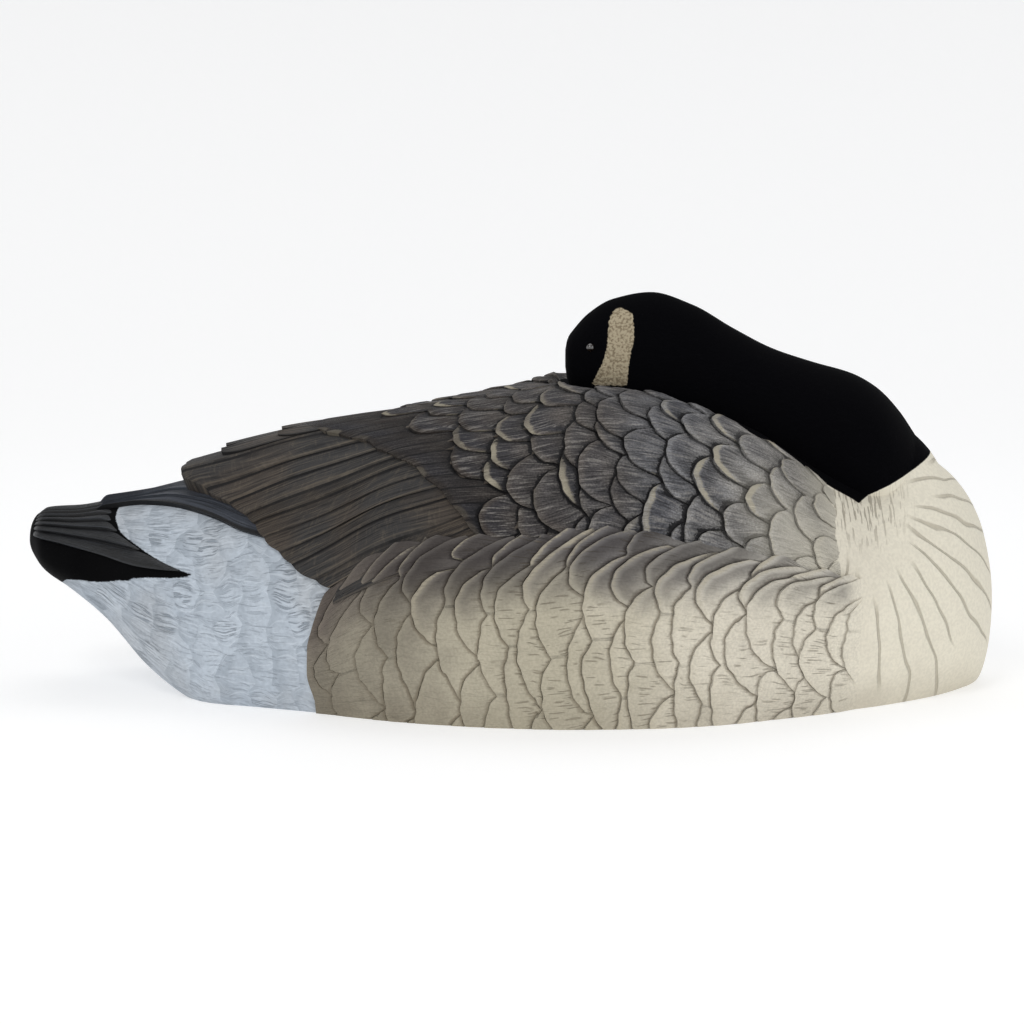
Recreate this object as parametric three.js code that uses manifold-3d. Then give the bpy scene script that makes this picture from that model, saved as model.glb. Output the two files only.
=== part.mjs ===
// A goose decoy: one moulded shell, hollow and open below, of a goose asleep with its head laid on its back.
// Millimetres, +Z up, +X towards the breast. The origin is on the ground, under the middle of the shell.
import * as THREE from 'three';
import { mergeVertices } from 'three/addons/utils/BufferGeometryUtils.js';
import Module from 'manifold-3d';

const wasm = await Module();
wasm.setup();

// Driving sizes
const length = 672.5;
const wall = 3.2;

// The free form below is in thousandths of the length
const unit = length / 1000;
const plateSink = 1.25 * wall;
const shellColour = 0x4a4640;

// Stations of the body: x, top, keel, half width, height of the widest point, fullness above and below
const bodyStations = [
  [-500, 154, 151, 1, 152, 2, 2],
  [-498, 169, 143, 25, 152, 2, 2],
  [-491, 178, 132, 46, 149, 2, 2.2],
  [-479, 180, 119, 65, 145, 2.1, 2.4],
  [-454, 181, 102, 77, 141, 2.2, 2.6],
  [-416, 188, 71, 89, 134, 2.2, 3],
  [-372, 198, 23, 107, 122, 2.2, 3.6],
  [-335, 208, -4, 122, 110, 2.2, 4],
  [-309, 217, -18, 134, 104, 2.2, 4],
  [-259, 235, -36, 153, 95, 2.2, 3.2],
  [-177, 262, -70, 189, 89, 2.2, 2.5],
  [-97, 281, -110, 220, 89, 2.25, 2.5],
  [0, 302, -134, 244, 95, 2.3, 2.5],
  [60, 318, -137, 250, 98, 2.3, 2.5],
  [134, 312, -131, 247, 103, 2.3, 2.5],
  [170, 303, -122, 241, 104, 2.3, 2.5],
  [211, 291, -110, 230, 106, 2.2, 2.5],
  [251, 274, -92, 214, 109, 2.15, 2.5],
  [291, 250, -80, 196, 109, 2.1, 2.5],
  [332, 228, -65, 175, 109, 2.05, 2.5],
  [363, 218, -54, 159, 109, 2, 2.5],
  [400, 232, -37, 137, 106, 2.05, 2.5],
  [430, 236, -22, 118, 104, 2.1, 2.5],
  [448, 225, -13, 104, 101, 2.15, 2.5],
  [464, 209, -6, 88, 98, 2.15, 2.5],
  [483, 177, 1, 61, 94, 2.1, 2.4],
  [493, 144, 21, 38, 89, 2, 2.2],
  [499, 106, 59, 14, 86, 2, 2],
  [500, 88, 85, 1, 86, 2, 2],
];

// Stations of the head and neck, in the same columns, from the brow to the front of the breast
const headStations = [
  [55, 348, 330, 4, 339, 2, 2],
  [57, 358, 317, 18, 338, 2.2, 2.2],
  [64, 369, 305, 27, 336, 2.2, 2.2],
  [80, 386, 291, 36, 336, 2.1, 2],
  [104, 400, 277, 42, 335, 2, 2],
  [143, 407, 262, 45, 332, 2, 2],
  [186, 394, 244, 46, 320, 2, 2],
  [228, 370, 223, 51, 297, 2, 2],
  [269, 349, 196, 58, 274, 2, 2],
  [311, 335, 167, 68, 250, 2, 2],
  [352, 323, 140, 82, 229, 2, 2],
  [378, 308, 125, 87, 214, 1.9, 2],
  [401, 284, 116, 80, 199, 1.8, 2],
  [418, 259, 112, 66, 181, 1.8, 2],
  [434, 235, 112, 48, 165, 1.9, 2],
  [448, 213, 116, 38, 152, 2, 2],
  [458, 193, 124, 22, 148, 2, 2],
  [463, 165, 140, 8, 149, 2, 2],
  [464, 152, 146, 1, 149, 2, 2],
];

// The trough along the back that the head lies in, which turns into a swell where the neck leaves the breast
const troughDepth = [[-10, 0], [60, 14], [250, 14], [325, 0], [370, -20], [400, -40], [416, -26], [440, 0]];
const troughWidth = [[250, 42], [380, 80]];

// Where the hollow ends, measured along the length
const bodyHollow = [-446, 493];
const headHollow = [62, 446];

// Facets along and around each loft, and how much they crowd together towards its ends
const bodyGrid = [30, 26];
const headGrid = [18, 16];
const bodyHollowGrid = [18, 18];
const headHollowGrid = [10, 10];
const crowding = 0.6;

// Outlines of the plumage on the skin: x, and the girth down from the middle line of the back
const wingRear = [[0, -332], [92, -332], [159, -297], [189, -259], [220, -217], [256, -181]];
const primaryEdge = [[-422, 18], [-419, 27], [-407, 48], [-390, 54], [-335, 89], [-297, 122],
  [-259, 162], [-217, 210], [-181, 256]];
const flankTop = [[-181, 254], [-162, 244], [-132, 242], [-107, 241], [-68, 250], [-30, 260], [7, 268],
  [46, 274], [83, 272], [122, 269], [180, 251], [239, 225], [300, 178], [346, 140], [370, 126]];
const flankRear = [[0, -180], [0.15, -190], [0.35, -199], [0.55, -200], [0.8, -193], [1, -192]];
const tailFront = [[0, -390], [0.2, -390], [0.217, -404], [0.286, -397], [0.343, -379], [0.386, -352],
  [0.43, -318]];

// How far the plumage of the back stands above the skin on the middle line, along the length
const backRise = [[-332, 25], [-290, 22], [-233, 19], [-178, 13], [-103, 8], [0, 6.5], [89, 6], [297, 4.5],
  [372, 3]];
const sideRise = [[-332, 9], [-148, 9], [0, 6], [372, 3]];
const sideGirth = 150;
const flankRise = 2.5;

// Tips of the broad feathers along the middle of the back
const leafTips = [-290, -233];

// The gap between two long feathers, as a share of their width
const slit = 0.04;

// The eye: radius, place along, across and up
const eyeBead = [4.4, 80, 33.5, 352];

// A curve through points that never overshoots them
function curve(points) {
  const xs = points.map((p) => p[0]);
  const ys = points.map((p) => p[1]);
  const steps = xs.slice(1).map((x, i) => x - xs[i]);
  const slopes = steps.map((h, i) => (ys[i + 1] - ys[i]) / h);
  const tangents = xs.map((x, i) => {
    if (i === 0) return slopes[0];
    if (i === xs.length - 1) return slopes[i - 1];
    if (slopes[i - 1] * slopes[i] <= 0) return 0;
    const before = 2 * steps[i] + steps[i - 1];
    const after = steps[i] + 2 * steps[i - 1];
    return (before + after) / (before / slopes[i - 1] + after / slopes[i]);
  });
  return (x) => {
    if (x <= xs[0]) return ys[0];
    if (x >= xs[xs.length - 1]) return ys[ys.length - 1];
    const i = xs.findIndex((edge, k) => x < xs[k + 1]);
    const h = steps[i];
    const t = (x - xs[i]) / h;
    const rest = 1 - t;
    return ys[i] * (1 + 2 * t) * rest * rest + h * tangents[i] * t * rest * rest
      + ys[i + 1] * t * t * (3 - 2 * t) - h * tangents[i + 1] * t * t * rest;
  };
}

function ease(from, to, x) {
  return THREE.MathUtils.smoothstep(x, from, to);
}

// A form gives the point of its skin at x and at an angle round its section, from the top to one side
function form(stations, trough, troughHalf) {
  const [top, keel, half, wide, above, below] = [1, 2, 3, 4, 5, 6].map((column) => (
    curve(stations.map((station) => [station[0], station[column]]))));
  const point = (x, angle) => {
    const across = Math.sin(angle);
    const up = Math.cos(angle);
    const power = 2 / (up >= 0 ? above(x) : below(x));
    const reach = up >= 0 ? top(x) - wide(x) : wide(x) - keel(x);
    const y = half(x) * Math.sign(across) * Math.abs(across) ** power;
    const z = wide(x) + reach * Math.sign(up) * Math.abs(up) ** power;
    const dip = up > 0 ? trough(x) * Math.exp(-((y / troughHalf(x)) ** 2)) * up : 0;
    return new THREE.Vector3(x, y, z - dip).multiplyScalar(unit);
  };
  const normal = (x, angle) => {
    const along = point(x + 1, angle).sub(point(x - 1, angle));
    const around = point(x, angle + 0.02).sub(point(x, angle - 0.02));
    return along.cross(around).normalize();
  };
  const first = stations[0][0];
  const last = stations[stations.length - 1][0];
  return { point, normal, first, last };
}

// Triangles of a grid of rings, each ring closed, with a cap at both ends
function ringMesh(rings) {
  const around = rings[0].length;
  const points = rings.flat();
  const faces = [];
  for (let i = 0; i < rings.length - 1; i += 1) {
    for (let j = 0; j < around; j += 1) {
      const next = (j + 1) % around;
      const [a, b] = [i * around + j, i * around + next];
      const [c, d] = [a + around, b + around];
      faces.push([a, b, d], [a, d, c]);
    }
  }
  const end = (ring, offset, order) => {
    const middle = ring.reduce((sum, p) => sum.add(p), new THREE.Vector3()).divideScalar(around);
    points.push(middle);
    for (let j = 0; j < around; j += 1) {
      const [a, b] = [offset + j, offset + ((j + 1) % around)];
      faces.push(order ? [a, points.length - 1, b] : [b, points.length - 1, a]);
    }
  };
  end(rings[0], 0, true);
  end(rings[rings.length - 1], (rings.length - 1) * around, false);
  return meshOf(points, faces);
}

// A closed mesh with its faces turned outwards
function meshOf(points, faces) {
  const volume = faces.reduce((sum, [a, b, c]) => (
    sum + points[a].dot(points[b].clone().cross(points[c]))), 0);
  const ordered = volume > 0 ? faces : faces.map(([a, b, c]) => [a, c, b]);
  const numbers = points.flatMap((p) => [p.x, p.y, p.z]);
  const geometry = new THREE.BufferGeometry();
  geometry.setAttribute('position', new THREE.Float32BufferAttribute(numbers, 3));
  geometry.setIndex(ordered.flat());
  return geometry;
}

// Rings along a form between two stations, closer together towards both ends, set in from the skin
function loft(shape, from, to, [along, around], insetAt) {
  const rings = [];
  for (let i = 0; i <= along; i += 1) {
    const even = i / along;
    const eased = 0.5 - 0.5 * Math.cos(Math.PI * even);
    const x = from + (to - from) * (crowding * eased + (1 - crowding) * even);
    const ring = [];
    for (let j = 0; j < around; j += 1) {
      const angle = (j / around) * 2 * Math.PI;
      ring.push(shape.point(x, angle).addScaledVector(shape.normal(x, angle), -insetAt(x, angle)));
    }
    rings.push(ring);
  }
  return ringMesh(rings);
}

// The skin of the body at x and a girth measured from the middle of the back, with its outward normal
function skinOf(shape) {
  const samples = 72;
  const rings = new Map();
  const ringAt = (x) => {
    if (!rings.has(x)) {
      const girths = [0];
      let last = shape.point(x, 0);
      for (let i = 1; i <= samples; i += 1) {
        const next = shape.point(x, (i / samples) * Math.PI);
        girths.push(girths[i - 1] + next.distanceTo(last) / unit);
        last = next;
      }
      rings.set(x, girths);
    }
    return rings.get(x);
  };
  const angleAt = (x, girth) => {
    const girths = ringAt(x);
    const reach = Math.min(Math.abs(girth), girths[samples] * 0.999);
    const i = girths.findIndex((g, k) => reach < girths[k + 1]);
    const part = (reach - girths[i]) / (girths[i + 1] - girths[i]);
    return Math.sign(girth) * ((i + part) / samples) * Math.PI;
  };
  const girthAt = (x, angle) => {
    const down = Math.acos(Math.cos(angle)) / Math.PI;
    return ringAt(x)[Math.round(down * samples)];
  };
  const girthAtHeight = (x, height) => {
    const girths = ringAt(x);
    let i = samples / 4;
    while (i < samples && shape.point(x, (i / samples) * Math.PI).z > height * unit) i += 1;
    return girths[i];
  };
  const lifted = (x, girth, rise) => {
    const angle = angleAt(x, girth);
    return shape.point(x, angle).addScaledVector(shape.normal(x, angle), rise * unit);
  };
  return { lifted, girthAt, girthAtHeight, fullGirth: (x) => ringAt(x)[samples] };
}

// A plate of plumage on the skin: a grid of spots (x, girth, rise), thick enough to sink into the skin
function plate(skin, rows) {
  const columns = rows[0].length;
  const size = rows.length * columns;
  const upper = rows.flat().map(([x, girth, rise]) => skin.lifted(x, girth, rise));
  const lower = rows.flat().map(([x, girth, rise]) => (
    skin.lifted(x, girth, Math.min(0, rise) - plateSink / unit)));
  const faces = [];
  const quad = (a, b, c, d) => faces.push([a, b, c], [a, c, d]);
  for (let i = 0; i < rows.length - 1; i += 1) {
    for (let j = 0; j < columns - 1; j += 1) {
      const a = i * columns + j;
      const c = a + columns;
      quad(a, a + 1, c + 1, c);
      quad(size + c, size + c + 1, size + a + 1, size + a);
    }
  }
  for (let j = 0; j < columns - 1; j += 1) {
    const last = (rows.length - 1) * columns + j;
    quad(size + j, size + j + 1, j + 1, j);
    quad(last, last + 1, size + last + 1, size + last);
  }
  for (let i = 0; i < rows.length - 1; i += 1) {
    const a = i * columns;
    const b = a + columns;
    quad(a, b, size + b, size + a);
    quad(size + a + columns - 1, size + b + columns - 1, b + columns - 1, a + columns - 1);
  }
  return meshOf([...upper, ...lower], faces);
}

const backRiseAt = curve(backRise);
const sideRiseAt = curve(sideRise);
const flankTopAt = curve(flankTop);
const wingRearAt = curve(wingRear);

// Height of the wings and back feathers above the skin
function plumage(x, girth) {
  const side = ease(0.1, 1, Math.abs(girth) / sideGirth);
  return backRiseAt(x) * (1 - side) + sideRiseAt(x) * side;
}

// How far the hollow rises under the plumage, which keeps the wall even
function hollowRise(x, girth) {
  const [rearBlend, frontFrom, frontTo, flankBlend] = [70, 230, 290, 30];
  const covered = ease(0, rearBlend, x - wingRearAt(girth)) - ease(frontFrom, frontTo, x);
  const low = ease(0, flankBlend, girth - flankTopAt(x));
  return Math.max(0, covered) * (plumage(x, girth) * (1 - low) + flankRise * low);
}

// The long flight feathers of both folded wings: strips that lap like slates, from the back outwards
function wings(skin) {
  const dorsalStrips = 2;
  const dorsalWidth = 45;
  const strips = 11;
  const stripWidth = 18.5;
  const lap = 3;
  const front = -10;
  const lines = 6;
  const [narrowFrom, narrowOver, narrowBy] = [-164, 149, 0.43];
  const columns = [];
  for (let k = 0; k < strips; k += 1) columns.push([k + slit, 0], [k + 1 - slit, 1]);
  const sided = [...columns.map(([s, high]) => [-s, high]).reverse(), ...columns];
  const flat = (s) => Math.min(s, dorsalStrips) * dorsalWidth + Math.max(0, s - dorsalStrips) * stripWidth;
  const rows = [];
  for (let i = 0; i <= lines; i += 1) {
    rows.push(sided.map(([s, high]) => {
      const spread = flat(Math.abs(s));
      const rear = wingRearAt(spread);
      const x = rear + (front - rear) * (i / lines);
      const taper = 1 - narrowBy * (Math.max(0, narrowFrom - x) / narrowOver) ** 2;
      const girth = Math.sign(s) * spread * taper;
      return [x, girth, plumage(x, girth) - lap * (1 - high)];
    }));
  }
  return plate(skin, rows);
}

// The dark flight feathers that show behind and under the wings, over the rump
function primaries(skin) {
  const strips = 3;
  const stripWidth = 19;
  const lap = 2.2;
  const rise = 5.5;
  const [ridgeRise, ridgeEnd] = [4.5, -350];
  const covered = 0.9;
  const lines = 6;
  const edgeAt = curve(primaryEdge);
  const rows = [];
  const from = primaryEdge[0][0];
  const to = primaryEdge[primaryEdge.length - 1][0];
  for (let i = 0; i <= lines; i += 1) {
    const x = from + (to - from) * (i / lines);
    const edge = edgeAt(x);
    const width = Math.min(stripWidth, (edge / strips) * covered);
    const side = [];
    for (let k = 0; k < strips; k += 1) {
      side.push([x, edge - (k + slit) * width, rise], [x, edge - (k + 1 - slit) * width, rise - lap]);
    }
    const crown = rise + ridgeRise * (1 - ease(from, ridgeEnd, x));
    const other = side.map(([along, girth, height]) => [along, -girth, height]);
    rows.push([...other, [x, 0, crown], ...side.reverse()]);
  }
  return plate(skin, rows);
}

// The ridged tail feathers, which fan out over the blunt tail and run in under the rump
function tailFeathers(skin) {
  const strips = 5;
  const share = 0.085;
  const [ridge, groove, sunk] = [4.2, 1.8, 1];
  const tip = -495;
  const [tipFade, frontFade] = [12, 18];
  const lines = 5;
  const frontAt = curve(tailFront);
  const rows = [];
  for (let i = 0; i <= lines; i += 1) {
    const half = [];
    for (let k = 0; k < strips; k += 1) {
      [[k + slit, ridge], [k + 1 - slit, groove]].forEach(([s, rise]) => {
        const front = frontAt(s * share);
        const x = tip + (front - tip) * (i / lines);
        const fade = ease(tip, tip + tipFade, x) - ease(front - frontFade, front, x);
        half.push([x, skin.fullGirth(x) * s * share, rise * fade - sunk]);
      });
    }
    const other = half.map(([x, girth, rise]) => [x, -girth, rise]).reverse();
    rows.push([...other, ...half]);
  }
  return plate(skin, rows);
}

// One broad feather with a round tip, lying along the back
function leaf(skin, tip, side) {
  const [middle, halfWidth, reach, lift] = [21, 20, 75, 4];
  const [crowned, sloping] = [0.4, 0.9];
  const roundness = 0.4;
  const bluntness = 0.02;
  const closing = 1.6;
  const lines = 5;
  const columns = 4;
  const rows = [];
  for (let i = 0; i <= lines; i += 1) {
    const u = (i / lines) ** closing;
    const open = Math.sqrt(1 - Math.max(0, 1 - (u + bluntness) / roundness) ** 2);
    const row = [];
    for (let j = 0; j <= columns; j += 1) {
      const v = (2 * j) / columns - 1;
      const x = tip + u * reach;
      const girth = side * middle + halfWidth * open * v;
      row.push([x, girth, plumage(x, girth) + lift * (1 - crowned * v * v) * (1 - sloping * u)]);
    }
    rows.push(row);
  }
  return plate(skin, rows);
}

// Rows of round-tipped scales, each row lapping over the one behind it by a step
function scales(skin, rowCount, across, step, place) {
  const foot = 0.8;
  const perScale = 4;
  const rows = [];
  const columns = Math.round(across[1] - across[0]) * perScale;
  for (let k = 0; k <= rowCount; k += 1) {
    const line = (height, back) => {
      const row = [];
      for (let j = 0; j <= columns; j += 1) {
        const s = across[0] + ((across[1] - across[0]) * j) / columns;
        const arch = Math.abs(Math.cos(Math.PI * (s + k / 2)));
        row.push(place(k, s, arch, height, back));
      }
      return row;
    };
    if (k > 0) rows.push(line(0, foot));
    rows.push(line(step, 0));
  }
  return plate(skin, rows);
}

// The scaled feathers of the back and shoulders, from the wing coverts to the neck
function backScales(skin) {
  const rows = 13;
  const perSide = 5;
  const start = -223;
  const spacing = 51;
  const shrink = 0.7;
  const arc = 0.42;
  const halfway = 120;
  const lapEdge = 16;
  const step = 3;
  const [fadeFrom, fadeTo, sunk] = [275, 318, 1.5];
  const sweepAt = curve([[-223, 0.75], [-125, 0.63], [-78, 0.54], [-33, 0.44], [11, 0.34], [54, 0.25],
    [95, 0.17], [135, 0.1], [173, 0.05], [250, 0.02]]);
  const tipLine = (k, girth) => {
    const base = start + spacing * k - shrink * k * k;
    return base + sweepAt(base) * Math.abs(girth);
  };
  return scales(skin, rows, [-perSide, perSide], step, (k, s, arch, height, back) => {
    const middle = tipLine(k, halfway);
    const girth = (s / perSide) * (flankTopAt(middle) + lapEdge);
    const gap = tipLine(k + 1, girth) - tipLine(k, girth);
    const x = tipLine(k, girth) - arc * gap * arch - back;
    const fade = 1 - ease(fadeFrom, fadeTo, x);
    return [x, girth, (plumage(x, girth) + height + sunk) * fade - sunk];
  });
}

// The flank of one side: tall scales from the edge that laps over the wing down to the rim
function flankScales(skin, side) {
  const rows = 17;
  const perSide = 3;
  const spacing = 33.5;
  const shrink = 0.16;
  const arc = 17;
  const [lean, leanShare] = [33, 0.25];
  const [lipOver, lipShare] = [2, 0.45];
  const step = 2.6;
  const bottom = -8;
  const [fadeFrom, fadeTo, sunk] = [262, 326, 1.2];
  const rearAt = curve(flankRear);
  return scales(skin, rows, [0, perSide], step, (k, s, arch, height, back) => {
    const v = s / perSide;
    const forward = lean * Math.max(0, 1 - v / leanShare) ** 2 * Math.min(1, k / 3);
    const tips = arc * arch * Math.min(1, k / 2);
    const x = rearAt(v) + spacing * k - shrink * k * k + forward - tips - back;
    const top = flankTopAt(x);
    const girth = top + (skin.girthAtHeight(x, bottom) - top) * v;
    const fade = 1 - ease(fadeFrom, fadeTo, x);
    const lip = (plumage(x, top) + lipOver) * (1 - ease(0, lipShare, v)) + flankRise * ease(0, lipShare, v);
    return [x, side * girth, (lip + height + sunk) * fade - sunk];
  });
}

// A glassy bead of an eye, half sunk in the side of the head
function eye(side) {
  const [radius, along, across, up] = eyeBead.map((share) => share * unit);
  const bead = new THREE.SphereGeometry(radius, 8, 6);
  bead.translate(along, side * across, up);
  return bead;
}

function solid(geometry) {
  const bare = geometry.clone();
  bare.deleteAttribute('normal');
  bare.deleteAttribute('uv');
  const merged = mergeVertices(bare, 1e-4);
  return new wasm.Manifold(new wasm.Mesh({
    numProp: 3,
    vertProperties: new Float32Array(merged.attributes.position.array),
    triVerts: new Uint32Array(merged.index.array),
  }));
}

function geometryOf(manifold) {
  const mesh = manifold.getMesh();
  const geometry = new THREE.BufferGeometry();
  geometry.setAttribute('position', new THREE.Float32BufferAttribute(mesh.vertProperties, 3));
  geometry.setIndex([...mesh.triVerts]);
  geometry.computeVertexNormals();
  return geometry;
}

function shell() {
  const body = form(bodyStations, curve(troughDepth), curve(troughWidth));
  const dipOnly = troughDepth.map(([x, dip]) => [x, Math.max(0, dip)]);
  const inside = form(bodyStations, curve(dipOnly), curve(troughWidth));
  const head = form(headStations, () => 0, () => 1);
  const skin = skinOf(body);
  const underPlumage = (x, angle) => wall - hollowRise(x, skin.girthAt(x, angle)) * unit;
  const leaves = [-1, 1].flatMap((side) => leafTips.map((tip) => leaf(skin, tip, side)));
  const outside = [
    loft(body, body.first, body.last, bodyGrid, () => 0),
    loft(head, head.first, head.last, headGrid, () => 0),
    tailFeathers(skin),
    primaries(skin),
    wings(skin),
    ...leaves,
    backScales(skin),
    flankScales(skin, -1),
    flankScales(skin, 1),
    eye(-1),
    eye(1),
  ].map(solid).reduce((sum, piece) => sum.add(piece));
  const hollow = solid(loft(inside, ...bodyHollow, bodyHollowGrid, underPlumage))
    .add(solid(loft(head, ...headHollow, headHollowGrid, () => wall)));
  const ground = new THREE.BoxGeometry(2 * length, 2 * length, length);
  ground.translate(0, 0, -length / 2);
  return geometryOf(outside.subtract(hollow).subtract(solid(ground)));
}

const material = new THREE.MeshStandardMaterial({ color: shellColour, roughness: 0.8, metalness: 0 });
const goose = new THREE.Mesh(shell(), material);
goose.name = 'goose_shell';

const decoy = new THREE.Group();
decoy.add(goose);

export default decoy;
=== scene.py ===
# A sleeping goose decoy: one moulded shell, painted and flocked. Metres, +Z up, +X towards the breast.
import math

import bpy
import numpy as np
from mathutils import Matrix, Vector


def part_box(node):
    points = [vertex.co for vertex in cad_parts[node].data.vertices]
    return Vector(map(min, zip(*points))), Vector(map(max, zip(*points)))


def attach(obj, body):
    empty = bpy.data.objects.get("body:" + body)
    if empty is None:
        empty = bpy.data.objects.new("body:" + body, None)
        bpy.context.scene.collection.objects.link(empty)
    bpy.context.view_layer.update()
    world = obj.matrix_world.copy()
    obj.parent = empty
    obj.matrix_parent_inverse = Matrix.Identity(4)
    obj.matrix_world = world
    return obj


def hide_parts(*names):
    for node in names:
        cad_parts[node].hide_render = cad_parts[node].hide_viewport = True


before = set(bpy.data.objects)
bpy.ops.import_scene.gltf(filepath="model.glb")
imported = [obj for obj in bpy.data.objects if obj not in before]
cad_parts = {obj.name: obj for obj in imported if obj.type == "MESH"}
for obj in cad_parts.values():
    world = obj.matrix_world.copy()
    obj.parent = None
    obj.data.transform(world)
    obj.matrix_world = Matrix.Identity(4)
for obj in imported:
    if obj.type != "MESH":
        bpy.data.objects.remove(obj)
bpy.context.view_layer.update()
shellLow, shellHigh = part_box("goose_shell")
unit = (shellHigh[0] - shellLow[0]) / 1000  # the shapes below are in thousandths of the length
pi = math.pi

body = {
    # x, top, keel, half width, height of the widest point, fullness above and below
    "stations": [
        (-500, 154, 151, 1, 152, 2, 2), (-498, 169, 143, 25, 152, 2, 2), (-491, 178, 132, 46, 149, 2, 2.2),
        (-479, 180, 119, 65, 145, 2.1, 2.4), (-454, 181, 102, 77, 141, 2.2, 2.6),
        (-416, 188, 71, 89, 134, 2.2, 3), (-372, 198, 23, 107, 122, 2.2, 3.6),
        (-335, 208, -4, 122, 110, 2.2, 4), (-309, 217, -18, 134, 104, 2.2, 4),
        (-259, 235, -36, 153, 95, 2.2, 3.2), (-177, 262, -70, 189, 89, 2.2, 2.5),
        (-97, 281, -110, 220, 89, 2.25, 2.5), (0, 302, -134, 244, 95, 2.3, 2.5),
        (60, 318, -137, 250, 98, 2.3, 2.5), (134, 312, -131, 247, 103, 2.3, 2.5),
        (170, 303, -122, 241, 104, 2.3, 2.5), (211, 291, -110, 230, 106, 2.2, 2.5),
        (251, 274, -92, 214, 109, 2.15, 2.5), (291, 250, -80, 196, 109, 2.1, 2.5),
        (332, 228, -65, 175, 109, 2.05, 2.5), (363, 218, -54, 159, 109, 2, 2.5),
        (400, 232, -37, 137, 106, 2.05, 2.5), (430, 236, -22, 118, 104, 2.1, 2.5),
        (448, 225, -13, 104, 101, 2.15, 2.5), (464, 209, -6, 88, 98, 2.15, 2.5),
        (483, 177, 1, 61, 94, 2.1, 2.4), (493, 144, 21, 38, 89, 2, 2.2), (499, 106, 59, 14, 86, 2, 2),
        (500, 88, 85, 1, 86, 2, 2)],
    "troughDepth": [(-10, 0), (60, 14), (250, 14), (325, 0), (370, -20), (400, -40), (416, -26), (440, 0)],
    "troughHalf": [(250, 42), (380, 80)],
    "tailLines": 90, "middleLines": 40, "breastLines": 80, "columns": 190, "shareWidth": 330,
}
head = {
    "stations": [
        (55, 348, 330, 4, 339, 2, 2), (57, 358, 317, 18, 338, 2.2, 2.2), (64, 369, 305, 27, 336, 2.2, 2.2),
        (80, 386, 291, 36, 336, 2.1, 2), (104, 400, 277, 42, 335, 2, 2), (143, 407, 262, 45, 332, 2, 2),
        (186, 394, 244, 46, 320, 2, 2), (228, 370, 223, 51, 297, 2, 2), (269, 349, 196, 58, 274, 2, 2),
        (311, 335, 167, 68, 250, 2, 2), (352, 323, 140, 82, 229, 2, 2), (378, 308, 125, 87, 214, 1.9, 2),
        (401, 284, 116, 80, 199, 1.8, 2), (418, 259, 112, 66, 181, 1.8, 2), (434, 235, 112, 48, 165, 1.9, 2),
        (448, 213, 116, 38, 152, 2, 2), (458, 193, 124, 22, 148, 2, 2), (463, 165, 140, 8, 149, 2, 2),
        (464, 152, 146, 1, 149, 2, 2)],
    "lines": 92, "columns": 96,
}


def curve(points):
    # between two points a cubic whose end slopes are the weighted harmonic mean of the chords on either side
    xs, ys = np.array(points, float).T
    step = np.diff(xs)
    chord = np.diff(ys) / step
    slope = np.concatenate([chord[:1], np.zeros(len(xs) - 2), chord[-1:]])
    same = chord[:-1] * chord[1:] > 0
    before, after = 2 * step[1:] + step[:-1], step[1:] + 2 * step[:-1]
    first, second = np.where(same, chord[:-1], 1), np.where(same, chord[1:], 1)
    slope[1:-1] = np.where(same, (before + after) / (before / first + after / second), 0)

    def at(x):
        x = np.clip(x, xs[0], xs[-1])
        i = np.clip(np.searchsorted(xs, x, side="right") - 1, 0, len(step) - 1)
        t = (x - xs[i]) / step[i]
        rest = 1 - t
        return (ys[i] * (1 + 2 * t) * rest ** 2 + step[i] * slope[i] * t * rest ** 2 + ys[i + 1] * t * t
                * (3 - 2 * t) - step[i] * slope[i + 1] * t * t * rest)
    return at


def ease(start, end, x):
    t = np.clip((x - start) / (end - start), 0, 1)
    return t * t * (3 - 2 * t)


def wander(a, b, reach, seed):
    # an uneven value from -1 to 1: three sine waves that cross the plane in different directions
    a, b = a / reach, b / reach
    return (np.sin(a + 0.7 * b + seed) + np.sin(0.6 * a - 1.3 * b + 2.1 * seed)
            + np.sin(1.7 * a + 0.2 * b + 3.7 * seed)) / 3


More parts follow.
